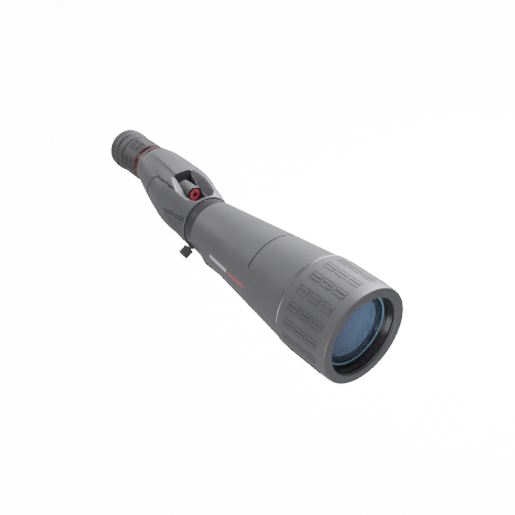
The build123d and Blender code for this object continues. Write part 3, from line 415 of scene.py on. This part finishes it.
PAD_GROUPS = 18
PAD_STATIONS = (18.9, 34.8, 50.2)
PAD_LENGTH = 13.2
PAD_HEIGHT = 4.1
PAD_OFFSET = 2.5              # degrees from the middle of a group to each of its two rows
PAD_TURN = 0.02               # turn of all the groups, as a share of one group
PAD_CORNER = 0.7
PAD_LEAST_CORNER = 0.3
# Loops up and over a pad: growth of its outline, rise above the skin, and painted shade, darkest at
# the pad's foot and inside its rim.
PAD_LOOPS = ((0.7, -0.15, 0.0), (0.6, 0.015, 0.2), (0.2, 0.03, 0.75), (0.0, 0.40, 0.2),
             (-0.2, 0.5, 0.0), (-0.5, 0.5, 0.0), (-0.66, 0.38, 0.1), (-0.85, 0.14, 0.6),
             (-1.5, 0.12, 0.0))


def rounded_rectangle(length, height, radius, arcs=3):
    """Loop of points round a rectangle with round corners."""
    points = []
    for turn, (x, y) in enumerate(((1, 1), (-1, 1), (-1, -1), (1, -1))):
        middle = (x * (length / 2 - radius), y * (height / 2 - radius))
        for step in range(arcs + 1):
            angle = math.pi / 2 * (turn + step / arcs)
            points.append((middle[0] + radius * math.cos(angle),
                           middle[1] + radius * math.sin(angle)))
    return points


def grip_pads():
    """Raised, rimmed pads in groups round the sunshade, each group six pads."""
    corners, faces, painted_shade_values = [], [], []
    for group in range(PAD_GROUPS):
        for row in (-PAD_OFFSET, PAD_OFFSET):
            centre = math.radians(360.0 / PAD_GROUPS * (group + PAD_TURN) + row)
            for station in PAD_STATIONS:
                start = len(corners)
                for grow, rise, dark in PAD_LOOPS:
                    loop = rounded_rectangle(PAD_LENGTH + grow, PAD_HEIGHT + grow,
                                             max(PAD_LEAST_CORNER, PAD_CORNER + grow / 2))
                    for along, across in loop:
                        angle = centre + across / SHADE_RADIUS
                        reach = SHADE_RADIUS + rise
                        # The third number of each loop is painted shade.
                        painted_shade_values.append(dark)
                        corners.append(place(-reach * math.sin(angle), station + along,
                                             reach * math.cos(angle)))
                size = len(loop)
                for ring in range(len(PAD_LOOPS) - 1):
                    first = start + ring * size
                    for step in range(size):
                        after = (step + 1) % size
                        faces.append([first + step, first + after,
                                      first + size + after, first + size + step])
                last = start + (len(PAD_LOOPS) - 1) * size
                faces.append(list(range(last, last + size)))
    add_piece("sunshade_grip_pads", corners, faces, "sunshade", [armour],
              crease=50.0, painted_shade_values=painted_shade_values)


sunshade()
grip_pads()

# ---- Barrel ------------------------------------------------------------------------------

CONE_FRONT, CONE_REAR = 69.0, 242.0
CONE_FRONT_RADIUS, CONE_REAR_RADIUS = 50.8, 33.0
GROOVE_STATION = 128.7
GROOVE_HALF = 0.55
GROOVE_DEPTH = 0.8
GROOVE_REACH = math.radians(58.5)


def cone_radius(station):
    """Radius of the barrel's armour at a station."""
    narrowing = CONE_FRONT_RADIUS - CONE_REAR_RADIUS
    return CONE_FRONT_RADIUS - (station - CONE_FRONT) * narrowing / (CONE_REAR - CONE_FRONT)


def barrel_skin():
    """Rubber armour of the cone, with its groove and the rolled edges at both ends."""
    stations = [70.2, 71.0, 90.0, 110.0, 125.0, 127.6]
    stations += [GROOVE_STATION + 0.1 * step for step in range(-9, 10)]
    stations += [129.8, 132.0, 150.0, 170.0, 190.0, 210.0, 230.0, 240.0, 241.0]
    skin = [(48.9, 69.4), (50.0, 69.4), (50.45, 69.6)]
    skin += [(cone_radius(station), station) for station in stations]
    skin += [(32.9, 241.5), (32.6, 241.8), (32.1, 242.0), (31.2, 242.0)]

    def groove(radius, station, angle):
        near = abs(station - GROOVE_STATION)
        turn = min(angle, 2 * math.pi - angle)
        if radius < cone_radius(station) - 0.5 or near > 1.0:
            return 0.0
        depth = 1 - fade(near, GROOVE_HALF - 0.1, GROOVE_HALF + 0.15)
        return -GROOVE_DEPTH * depth * (1 - fade(turn, GROOVE_REACH - 0.02, GROOVE_REACH))

    # Painted shade: the deeper the skin sits in the groove, the darker it is.
    def painted_groove_shade(radius, station, angle):
        if not 125 < station < 132:
            return 0.0
        return min(1.0, max(0.0, (cone_radius(station) - 0.05 - radius) / 0.35))

    lathe("barrel_skin", [skin], "scope", [armour], ["barrel_armour"],
          steps=360, relief=groove, shade=painted_groove_shade)


DASH_TURN = math.radians(86.5)      # from the top of the barrel down to the dashes
DASH_LEVEL = 160.0                  # station where the dashes have just that turn
DASH_LEAN = 0.012                   # drop across the barrel for each mm behind it
DASH_LOOPS = ((-0.1, 0.0), (0.1, 0.0), (0.12, 0.12))      # rise above the skin, and inset


def side_mark(name, front, rear, half_height, finish):
    """Thin raised dash on both sides of the barrel, in place of any lettering."""
    corners, faces = [], []
    for side in (1, -1):
        start = len(corners)
        for rise, inset in DASH_LOOPS:
            for along, across in rounded_rectangle(
                    rear - front - 2 * inset, 2 * (half_height - inset), 0.7, 4):
                station = (front + rear) / 2 + along
                reach = cone_radius(station) + rise
                angle = DASH_TURN + (across + (station - DASH_LEVEL) * DASH_LEAN) / reach
                corners.append(place(-side * reach * math.sin(angle), station,
                                     reach * math.cos(angle)))
        size = (len(corners) - start) // len(DASH_LOOPS)
        for ring in range(len(DASH_LOOPS) - 1):
            first = start + ring * size
            for step in range(size):
                after = (step + 1) % size
                faces.append([first + step, first + after, first + size + after,
                              first + size + step])
        # Strips across the dash, so that it follows the barrel's curve.
        top = start + (len(DASH_LOOPS) - 1) * size
        half = size // 2
        for step in range(half - 1):
            faces.append([top + step, top + step + 1, top + size - 2 - step,
                          top + size - 1 - step])
    add_piece(name, corners, faces, "scope", [finish])


barrel_skin()
side_mark("barrel_dash_pale", 162.0, 197.0, 2.2, pale_mark)
side_mark("barrel_dash_red", 129.0, 158.0, 1.7, red_mark)

# ---- Prism housing -----------------------------------------------------------------------

HOUSING_FRONT, HOUSING_REAR = 257.0, 372.0
FRONT_RADIUS = 33.0
# Station, half width, top, bottom and squareness of the sections.
SECTIONS = np.array((
    (257.0, 33.0, 33.0, -33.0, 2.0),
    (268.5, 32.8, 37.7, -30.0, 2.4),
    (280.0, 33.8, 42.3, -26.8, 2.4),
    (292.65, 36.4, 46.4, -23.0, 2.4),
    (305.3, 37.0, 48.6, -19.0, 2.4),
    (321.4, 34.8, 51.4, -13.8, 2.4),
    (338.65, 31.5, 53.9, -8.0, 2.4),
    (357.05, 27.3, 55.2, -1.2, 2.4),
    (372.0, 24.0, 53.1, 5.1, 2.0),
))
TROUGH_HALF = 9.75            # the rubber hugs the knob closer than the shells' cut does
TROUGH_FRONT = 268.2
TROUGH_RAMP_REAR = 278.0      # where the floor starts to slope up to the front
TUNNEL_END = 310.8
ARCH = 303.25
LIP_LEAN, LIP_RISE = 2.0, 31.8      # the trough's wall leans out this far over this rise
NO_SCOOP = 999.0
SCOOP_HALF = 11.0
SCOOP_STATIONS = (258.5, 267.0, 284.0, 303.4)
SCOOP_HEIGHTS = (33.5, 26.0, 28.0, 43.5)


def section_at(station):
    """Half width, top, bottom and squareness, by a smooth curve through the sections."""
    stations = SECTIONS[:, 0]
    index = int(np.clip(np.searchsorted(stations, station) - 1, 0, len(stations) - 2))
    span = stations[index + 1] - stations[index]
    t = (station - stations[index]) / span
    first, second = SECTIONS[index, 1:], SECTIONS[index + 1, 1:]

    def slope(at):
        low, high = max(at - 1, 0), min(at + 1, len(stations) - 1)
        return (SECTIONS[high, 1:] - SECTIONS[low, 1:]) / (stations[high] - stations[low])

    rise, fall = slope(index) * span, slope(index + 1) * span
    value = ((2 * t ** 3 - 3 * t ** 2 + 1) * first + (t ** 3 - 2 * t ** 2 + t) * rise
             + (3 * t ** 2 - 2 * t ** 3) * second + (t ** 3 - t ** 2) * fall)
    value[3] = first[3] + (second[3] - first[3]) * t
    return value


def body_top(side, station):
    """Height of the plain section's top, before the scoop and the crease."""
    half, top, bottom, power = section_at(station)
    middle, tall = (top + bottom) / 2, (top - bottom) / 2
    return middle + tall * max(0.0, 1 - (abs(side) / half) ** power) ** (1 / power)


def soft_least(first, second, width):
    """The lesser of two numbers, blended where they are within a width of each other."""
    blend = max(width - abs(first - second), 0.0) / width
    return min(first, second) - blend * blend * width / 4


def scoop_top(side, station):
    """Height of the scoop round the focus knob, or NO_SCOOP away from it."""
    if not SCOOP_STATIONS[0] <= station <= ARCH:
        return NO_SCOOP
    low = float(np.interp(station, SCOOP_STATIONS, SCOOP_HEIGHTS))
    return low + max(0.0, abs(side) - SCOOP_HALF)


CREASE_SIDE = 8.2             # half width of the hump's flat roof
CREASE_SLOPE = math.tan(math.radians(27.0))
CREASE_DEEPEST = 1.6
CREASE_END = (350.0, 366.0)   # stations over which the creases fade out


def skin_top(side, station):
    """Height of the housing's upper skin."""
    height = body_top(side, station)
    if station > ARCH:
        strength = 1 - fade(station, *CREASE_END)
        roof = body_top(CREASE_SIDE, station) - CREASE_SLOPE * (abs(side) - CREASE_SIDE)
        cut = height - soft_least(height, roof + 0.1, 0.35)
        return height - strength * min(cut, CREASE_DEEPEST)
    return soft_least(height, scoop_top(side, station), 0.9 + 2.2 * fade(station, 262.0, 272.0))


def trough_floor(side, station):
    """Height of the trough's floor, which slopes up to the skin at its front."""
    low = KNOB_AXIS - math.sqrt(max(0.0, TROUGH_HALF ** 2 - side ** 2))
    top = skin_top(TROUGH_HALF, station) - 0.05
    return min(top, low + (top - low) * (1 - fade(station, TROUGH_FRONT, TROUGH_RAMP_REAR)))


def lip_side(station):
    """Where the trough's leaning wall meets the skin above it."""
    height = skin_top(TROUGH_HALF, station)
    return TROUGH_HALF + 0.03 + LIP_LEAN * max(0.0, height - KNOB_AXIS) / LIP_RISE


UPPER_FLANK = 35.0            # height above which the flank may meet the upper skin


def flank_point(station, height):
    """Point of the housing's flank at a height."""
    half, top, bottom, power = section_at(station)
    share = min(1.0, abs(height - (top + bottom) / 2) / ((top - bottom) / 2))
    side = half * (1 - share ** power) ** (1 / power)
    return (station, side, min(height, skin_top(side, station)) if height > UPPER_FLANK else height)


def flank_line(*stops):
    """Dense line on the flank through (station, height) stops."""
    steps = 8
    line = []
    for (s0, h0), (s1, h1) in zip(stops, stops[1:]):
        for step in range(steps):
            t = step / steps
            line.append(flank_point(s0 + (s1 - s0) * t, h0 + (h1 - h0) * t))
    return line + [flank_point(*stops[-1])]


PANEL_EDGE = flank_line((330.5, 12.0), (333.0, 18.0), (331.5, 24.0), (328.0, 32.0),
                        (324.0, 40.0), (320.5, 44.8), (309.0, 43.4), (297.0, 41.4),
                        (288.0, 39.4))
RIB_LINES = (flank_line((293.0, 16.8), (259.0, 15.8)), flank_line((291.0, 13.9), (259.0, 12.9)))
ARCH_SEAM_FAR = [(304.0 + 0.004 * (side - 10) ** 2, side, skin_top(side, 304.0))
                 for side in range(10, 31, 2)]


FARTHEST = 2.0                # mm past which distances to a line need not be told apart


def distance_to(points, line):
    """Least distance from each point to a chain of straight segments, up to FARTHEST."""
    best = np.full(len(points), FARTHEST)
    ends = np.array(line)
    near = np.all((points > ends.min(axis=0) - FARTHEST)
                  & (points < ends.max(axis=0) + FARTHEST), axis=1)
    close = points[near]
    least = best[near]
    for a, b in zip(ends, ends[1:]):
        along = np.clip(((close - a) @ (b - a)) / ((b - a) @ (b - a)), 0, 1)
        gap = np.linalg.norm(close - (a + along[:, None] * (b - a)), axis=1)
        least = np.minimum(least, gap)
    best[near] = least
    return best


RIDGE_HEIGHTS = (-14.0, 11.0)
RIDGE_FRONT = 259.5
RIDGE_PITCH = 2.7
RIDGE_DEPTH = 0.34


def carve(points):
    """Depth of the skin's grooves at each (station, side, height) point."""
    near = points.copy()
    near[:, 1] = np.abs(near[:, 1])
    depth = np.zeros(len(points))

    def groove(source, line, half, deep):
        gap = distance_to(source, line)
        shape = np.clip(1.6 * (1 - (gap / half) ** 2), 0, 1)
        return deep * shape

    depth = np.maximum(depth, groove(near, PANEL_EDGE, 0.85, 0.6))
    for line in RIB_LINES:
        depth = np.maximum(depth, groove(near, line, 0.6, 0.55))
    depth = np.maximum(depth, groove(points, ARCH_SEAM_FAR, 0.8, 0.6))
    # Fine ridges below the double line, on both flanks, ending on a slant at the rear.
    height, station = near[:, 2], near[:, 0]
    tip = 292.0 - (12.4 - height) * 0.55
    inside = ((height < RIDGE_HEIGHTS[1]) & (height > RIDGE_HEIGHTS[0])
              & (station > RIDGE_FRONT) & (station < tip))
    wave = np.clip(1.4 * np.cos(2 * math.pi * (9.7 - height) / RIDGE_PITCH) - 0.4, 0, 1)
    return np.where(inside, np.maximum(depth, RIDGE_DEPTH * wave), depth)


SHOULDER_STEPS = 26
SHOULDER_END = 0.8            # share of the half width where the flank takes over
FLANK_STEPS = 190
UNCARVED_HALF = 11.2          # the trough is inside this half width and these stations
UNCARVED_STATIONS = (267.0, 311.0)
POCKET_HALF = 13.0
POCKET_REAR = 312.0
RIM_REAR, RIM_LENGTH = 258.4, 1.4   # round of the front rim
RIM_ROUND = 1.1


def housing_skin():
    """Rubber skin of the prism housing, in one net of rows from the rear to the front."""
    # Known fault: 10.0 and 10.5 lie past TROUGH_HALF, so the top of the skin doubles back on
    # itself there, in a strip 0.75 mm wide on each side.
    top_sides = [0.0, 1.3, 2.6, 3.9, 5.2, 6.2, 7.0, 7.5, 7.9, 8.2, 8.5, 8.9, 9.4, 10.0, 10.5,
                 TROUGH_HALF]
    rear = list(np.linspace(HOUSING_REAR, ARCH + 0.35, 172))
    middle = list(np.linspace(ARCH - 0.25, TROUGH_FRONT + 0.05, 88))
    front = list(np.linspace(TROUGH_FRONT - 0.05, 258.6, 24))
    front += [258.2, 257.8, 257.5, 257.25, HOUSING_FRONT]

    def half_row(station, trough="", inner=None):
        """Points from the middle line out and down to the bottom, on one side.

        In the tunnel, the points of the trough are at the inner station, past the arch."""
        inner = station if inner is None else inner
        row = []
        for side in top_sides:
            if trough == "roof":
                height = KNOB_AXIS + math.sqrt(max(0.0, TROUGH_HALF ** 2 - side ** 2))
            elif trough == "floor":
                height = trough_floor(side, inner)
            elif trough == "end":
                height = KNOB_AXIS
            else:
                height = skin_top(side, inner)
            row.append((side, inner, height))
        half, top, bottom, power = section_at(station)
        lip = lip_side(station)
        outer = SHOULDER_END * half
        for step in range(SHOULDER_STEPS):
            share = step / (SHOULDER_STEPS - 1)
            share = 0.35 * share + 0.65 * share ** 2
            side = lip + (outer - lip) * share
            row.append((side, station, skin_top(side, station)))
        centre, tall = (top + bottom) / 2, (top - bottom) / 2
        start = math.asin(min(1.0, SHOULDER_END ** (power / 2)))
        for step in range(1, FLANK_STEPS + 1):
            turn = start + (math.pi - start) * step / FLANK_STEPS
            side = half * abs(math.sin(turn)) ** (2 / power)
            lean = abs(math.cos(turn)) ** (2 / power)
            height = centre + math.copysign(tall * lean, math.cos(turn))
            row.append((side, station, height))
        return row

    rows = [half_row(station) for station in rear]
    rows.append(half_row(ARCH))
    rows.append(half_row(ARCH, "roof"))
    rows.append(half_row(ARCH, "roof", TUNNEL_END))
    rows.append(half_row(ARCH, "end", TUNNEL_END))
    rows.append(half_row(ARCH, "floor", TUNNEL_END))
    rows.append(half_row(ARCH, "floor"))
    rows += [half_row(station, "floor") for station in middle]
    rows.append(half_row(TROUGH_FRONT, "floor"))
    rows.append(half_row(TROUGH_FRONT))
    rows += [half_row(station) for station in front]
    # The front's flat rim, turned in towards the barrel.
    rim = half_row(HOUSING_FRONT)
    for inset in (0.5, 1.2, 2.5, 5.9):
        rows.append([(side * (FRONT_RADIUS - inset) / FRONT_RADIUS, HOUSING_FRONT,
                      height * (FRONT_RADIUS - inset) / FRONT_RADIUS)
                     for side, _, height in rim])
    grid = np.array(rows)               # rows x columns x (side, station, height)
    # Join the two sides: the near side is -X.
    near = grid * np.array((-1.0, 1.0, 1.0))
    ring = np.concatenate([near[:, ::-1], grid[:, 1:-1]], axis=1)
    flat = ring.reshape(-1, 3)
    points = np.stack([flat[:, 1], flat[:, 0], flat[:, 2]], axis=1)
    depth = carve(points)
    # Only the outer skin is carved, not the trough.
    trough = ((np.abs(flat[:, 0]) < UNCARVED_HALF) & (flat[:, 1] > UNCARVED_STATIONS[0])
              & (flat[:, 1] < UNCARVED_STATIONS[1]))
    depth[trough] = 0.0
    stations = np.clip(ring[:, 0, 1], HOUSING_FRONT, HOUSING_REAR)
    middle_height = np.array([sum(section_at(float(station))[1:3]) / 2 for station in stations])
    centre = np.repeat(middle_height, ring.shape[1])
    inward = np.stack([-flat[:, 0], np.zeros(len(flat)), centre - flat[:, 2]], axis=1)
    inward /= np.maximum(np.linalg.norm(inward, axis=1), 1e-6)[:, None]
    flat = flat + inward * depth[:, None]
    # Round the front rim.
    near_rim = np.clip((RIM_REAR - flat[:, 1]) / RIM_LENGTH, 0, 1)
    flat = flat + inward * (RIM_ROUND * (1 - np.sqrt(1 - near_rim ** 2)))[:, None]
    corners = [place(*point) for point in flat]
    # Painted shade in the carved grooves and along the rear edge.
    painted_shade_values = np.clip((depth - 0.08) / 0.3, 0, 1)
    rear_edge_shade = np.clip((flat[:, 1] - 371.0) / 0.8, 0, 1)
    painted_shade_values = np.maximum(painted_shade_values, 0.8 * rear_edge_shade)
    columns = ring.shape[1]
    faces = []
    for row in range(len(rows) - 1):
        for column in range(columns):
            after = (column + 1) % columns
            first, second = row * columns, (row + 1) * columns
            faces.append([first + column, first + after, second + after, second + column])

    def finish_of(point):
        """Painted shade in the tunnel behind the arch, armour everywhere else."""
        side, station, height = abs(point.x), point.y + SOCKET_STATION, point.z - AXIS_HEIGHT
        in_tunnel = side < POCKET_HALF and ARCH - 0.2 < station < POCKET_REAR
        return int(in_tunnel and height < skin_top(side, ARCH + 0.1) - 0.9)

    add_piece("housing_skin", corners, faces, "scope", [armour, painted_pocket_shade],
              ["housing_armour"], crease=36.0, finish_of=finish_of, painted_shade_values=painted_shade_values)


housing_skin()

# ---- Focus knob --------------------------------------------------------------------------

KNOB_RIBS = 26
KNOB_FLUTE_DEPTH = 0.45
KNOB_FLUTE_STATIONS = (281.3, 308.6)


def focus_knob():
    """Fluted rubber of the focus knob, its black rim and its red cap."""
    def flutes(radius, station, angle):
        if radius < 8.6 or not KNOB_FLUTE_STATIONS[0] < station < KNOB_FLUTE_STATIONS[1]:
            return 0.0
        wave = math.cos(angle * KNOB_RIBS)
        return -KNOB_FLUTE_DEPTH * (1 - fade(wave, -0.75, -0.3))

    grip = [(7.4, 281.0), (8.8, 281.0), (8.95, 281.2), (9.0, 281.5), (9.0, 282.0), (9.0, 308.0),
            (9.0, 308.4), (8.9, 308.8), (8.6, 309.0), (7.4, 309.0)]
    # Painted shade darkens the bottoms of the flutes.
    lathe("focus_knob_ribs", [grip], "focus_knob", [knob_rubber_painted_light],
          ["focus_knob_grip"], KNOB_AXIS, 416, flutes,
          shade=lambda reach, station, angle: 0.8 if 8.3 < reach < 8.7 else 0.0)
    rim = softened([(7.0, 279.0), (9.0, 279.0), (9.0, 281.0), (7.0, 281.0)], 0.55)
    lathe("focus_knob_black_rim", [rim], "focus_knob", [dark_plastic],
          ["focus_knob_rim"], KNOB_AXIS, 128)
    cap = softened([(2.6, 279.1), (3.4, 278.85), (6.9, 278.85), (6.9, 280.2), (2.6, 280.2)], 0.4)
    lathe("focus_knob_red_cap", [cap], "focus_knob", [cap_red],
          ["focus_knob_cap"], KNOB_AXIS, 128)


focus_knob()

# ---- Eyepiece ----------------------------------------------------------------------------

ZOOM_PATCHES = 6
ZOOM_PATCH_HALF = math.radians(19.0)
ZOOM_PATCH_TURN = math.radians(22.0)
ZOOM_PATCH_STATIONS = ((382.0, 392.1), (394.0, 404.1))
ZOOM_RIDGE_PITCH = math.radians(5.6)
ZOOM_RIDGE_HEIGHT = 0.5
ZOOM_RIDGE_END = 0.5          # length over which the ridges rise at each end of a patch


def patch_angle(angle):
    """Angle on the zoom ring from the middle of the nearest patch of ridges."""
    pitch = 2 * math.pi / ZOOM_PATCHES
    return (angle - ZOOM_PATCH_TURN + pitch / 2) % pitch - pitch / 2


def close_steps(first):
    """Close stations over the end of a patch of ridges."""
    return [first + 0.15 * step for step in range(5)]


def eyepiece():
    """The two red rings and the ribbed rubber of the zoom ring."""
    rings = [softened([(22.9, front), (23.75, front), (23.75, front + 1.9), (22.9, front + 1.9)],
                      0.5) for front in (372.3, 375.8)]
    lathe("eyepiece_red_rings", rings, "scope", [red_gloss], ["accent_rings"],
          EYE_AXIS, 220)

    def ridges(radius, station, angle):
        if radius < 24.0:
            return 0.0
        place_in = patch_angle(angle)
        inside = 1 - fade(abs(place_in), ZOOM_PATCH_HALF - 0.01, ZOOM_PATCH_HALF)
        block = max(fade(station, front, front + ZOOM_RIDGE_END)
                    - fade(station, rear - ZOOM_RIDGE_END, rear)
                    for front, rear in ZOOM_PATCH_STATIONS)
        wave = 0.5 + 0.5 * math.cos(place_in * 2 * math.pi / ZOOM_RIDGE_PITCH)
        return ZOOM_RIDGE_HEIGHT * inside * block * fade(wave, 0.3, 0.7)

    stations = [379.4, 380.0, 381.6, *close_steps(382.0), 383.5, 385.0, 387.0, 389.0, 390.5,
                *close_steps(391.5), 393.0, *close_steps(393.9), 396.0, 398.0, 400.0, 402.0,
                *close_steps(403.5), 405.0, 406.6]
    grip = [(22.0, 378.5), (23.6, 378.5), (24.0, 378.7), (24.15, 379.0)]
    grip += [(24.2, station) for station in stations]
    grip += [(24.15, 407.4), (24.0, 408.0), (23.6, 408.3), (22.0, 408.3)]

    # Painted shade between the ridges and at the ring's two ends.
    def painted_ridge_shade(reach, station, angle):
        on_patch = abs(patch_angle(angle)) < ZOOM_PATCH_HALF and any(
            front < station < rear for front, rear in ZOOM_PATCH_STATIONS)
        edge = 1.0 if station > 407.2 or station < 378.8 else 0.0
        return max(edge, 0.9 * on_patch * (1 - fade(reach, 24.22, 24.5)))

    lathe("zoom_ring_skin", [grip], "zoom_ring", [eye_rubber],
          ["zoom_ring_grip"], EYE_AXIS, 540, ridges, shade=painted_ridge_shade)


EYECUP_STEP = 420.6           # stations of the eyecup's step and groove
EYECUP_GROOVE = 428.6


def eyecup():
    """Rubber of the eyecup, with its step, its groove and the rolled rear lip."""
    core_radius = 22.65
    skin = [(core_radius, 409.0), (23.7, 409.0), (24.2, 409.3), (24.4, 409.9), (24.45, 414.0),
            (24.5, 419.0), (24.4, 419.7), (23.9, 420.2), (23.8, 420.6), (24.1, 421.0),
            (25.1, 421.4), (25.6, 421.9), (25.75, 422.6), (25.8, 424.0), (25.8, 427.6),
            (25.6, 428.1), (25.3, 428.4), (25.3, 428.8), (25.6, 429.1), (25.8, 429.6),
            (25.8, 432.0), (25.7, 434.0), (25.3, 436.0), (24.5, 437.5), (23.4, 438.3),
            (22.0, 438.5), (19.0, 438.5), (17.3, 438.2), (16.6, 437.6), (16.5, 436.8),
            (16.5, 435.5), (core_radius, 435.5)]

    # Painted shade on the inner and front faces, in the step and in the groove.
    def grooves(reach, station, angle):
        if reach < 22.7 or station < 409.25:
            return 0.9
        near_step = 1 - fade(abs(station - EYECUP_STEP), 0.3, 0.9)
        near_groove = 1 - fade(abs(station - EYECUP_GROOVE), 0.2, 0.7)
        return 0.85 * max(near_step, near_groove) if reach > 23.0 else 0.0

    lathe("eyecup_skin", [skin], "eyecup", [eye_rubber], ["eyecup_rubber"],
          EYE_AXIS, 220, shade=grooves)


eyepiece()
eyecup()

# ---- Objective lens ----------------------------------------------------------------------

CROWN_EDGE = 38.3             # radius past which the front lens shows its rim
COATED_RADIUS = 30.4
EDGE_LINE_RADIUS = 31.35


def bowl(radius, rim_station, rise, count=28):
    """Outline of a spherical face from its rim to the axis."""
    ball = (radius ** 2 + rise ** 2) / (2 * rise)
    points = []
    for step in range(count + 1):
        r = radius * (1 - step / count)
        points.append((r, rim_station - rise + ball - math.sqrt(ball ** 2 - r ** 2)))
    return points


def behind_finish(point):
    """Second lens: deep annulus, pale edge line and a middle with the coating's painted reflection.
    """
    radius = math.hypot(point.x, point.z - AXIS_HEIGHT)
    return 1 if radius < COATED_RADIUS else 2 if radius < EDGE_LINE_RADIUS else 0


def front_lens():
    """The two objective lenses and the pale chamfer at the front one's rim."""
    outline = [(40.0, 19.0), (40.0, 14.1), (39.9, 14.0), (38.5, 14.0)]
    outline += bowl(38.2, 14.0, 4.0) + [(0.0, 18.0), (38.0, 18.2)]
    lathe("objective_crown", [outline], "scope", [lens_glass, rim_glass],
          ["objective_crown_lens"],
          finish_of=lambda point: int(math.hypot(point.x, point.z - AXIS_HEIGHT) > CROWN_EDGE))
    chamfer = [(36.6, 13.55), (37.2, 13.25), (38.3, 13.2), (38.6, 13.6), (38.4, 13.95),
               (36.6, 14.0)]
    lathe("objective_rim_chamfer", [chamfer], "scope", [rim_glass])
    behind = [(39.8, 21.0), (39.8, 20.2), (38.5, 20.0), (31.4, 20.2), (30.9, 20.0), (30.2, 20.6)]
    steps = 12
    behind += [(30.2 * (1 - step / steps), 20.6 + 3.0 * (1 - (1 - step / steps) ** 2))
               for step in range(1, steps + 1)]
    behind += [(0.0, 27.0), (39.8, 27.0)]
    lathe("objective_flint", [behind], "scope", [deep_glass, inner_glass, rim_glass],
          ["objective_flint_lens"], finish_of=behind_finish)


front_lens()

# ---- Stage, light and camera -------------------------------------------------------------

FLOOR_REACH = 90.0            # metres, so that the floor fills the photo's view
FLOOR_HEIGHT = -0.30
FLOOR_GLOW = 14.0
WORLD_GLOW = 0.46
# The photo's view, from fitting a camera to the object's outlines: across, up and back.
CAMERA_AXES = ((0.7887, -0.6149, 0.0), (0.3436, 0.4407, 0.8293), (-0.5099, -0.6540, 0.5588))
CAMERA_PLACE = (-0.3816, -0.5498, 0.4691)
CAMERA_LENS = 48.93


def stage():
    """White floor that glows but neither lights nor mirrors in the object, and a grey world."""
    mesh = bpy.data.meshes.new("floor")
    mesh.from_pydata([(x * FLOOR_REACH, y * FLOOR_REACH, FLOOR_HEIGHT)
                      for x, y in ((-1, -1), (1, -1), (1, 1), (-1, 1))], [], [[0, 1, 2, 3]])
    floor = bpy.data.objects.new("floor", mesh)
    bpy.context.scene.collection.objects.link(floor)
    made = Finish("floor")
    tone = made.ramp(made.noise(3.0), 0.3, 0.7, (0.95, 0.95, 0.95), (0.97, 0.97, 0.97))
    made.link(tone, made.shader.inputs["Emission Color"])
    mesh.materials.append(made.finish(tone, made.ramp(made.noise(8.0), 0.3, 0.7, 0.8, 0.9),
                                      made.bump(made.noise(40.0), 0.0002),
                                      Emission_Strength=FLOOR_GLOW))
    floor.visible_diffuse = False
    floor.visible_glossy = False
    floor.visible_transmission = False
    world = bpy.data.worlds.new("studio")
    world.use_nodes = True
    sky = world.node_tree.nodes["Background"]
    sky.inputs["Color"].default_value = (1, 1, 1, 1)
    sky.inputs["Strength"].default_value = WORLD_GLOW
    bpy.context.scene.world = world


def soft_light(name, location, target, size, power, tint=(1, 1, 1)):
    """Rectangular area light at a location, aimed at a target; metres and watts."""
    light = bpy.data.lights.new(name, "AREA")
    light.shape = "RECTANGLE"
    light.size, light.size_y = size
    light.energy = power
    light.color = tint
    lamp = bpy.data.objects.new(name, light)
    bpy.context.scene.collection.objects.link(lamp)
    lamp.location = location
    aim = Vector(target) - Vector(location)
    lamp.rotation_euler = aim.to_track_quat("-Z", "Y").to_euler()


def camera():
    """The photo's camera."""
    data = bpy.data.cameras.new("camera")
    data.lens = CAMERA_LENS
    data.sensor_width = 36.0
    data.clip_end = 50.0
    eye = bpy.data.objects.new("camera", data)
    bpy.context.scene.collection.objects.link(eye)
    turn = Matrix(CAMERA_AXES).transposed()
    eye.matrix_world = Matrix.Translation(CAMERA_PLACE) @ turn.to_4x4()
    bpy.context.scene.camera = eye


stage()
soft_light("key", (0.92, 0.15, 0.80), (0, -0.05, 0.05), (0.35, 1.5), 52.0, (0.97, 0.97, 1.0))
soft_light("fill", (-1.2, -0.7, -0.3), (0, 0, 0.05), (0.7, 0.9), 17.0)
soft_light("rear", (-0.3, 1.3, 0.5), (0, 0.1, 0.05), (0.8, 0.5), 3.0)
camera()
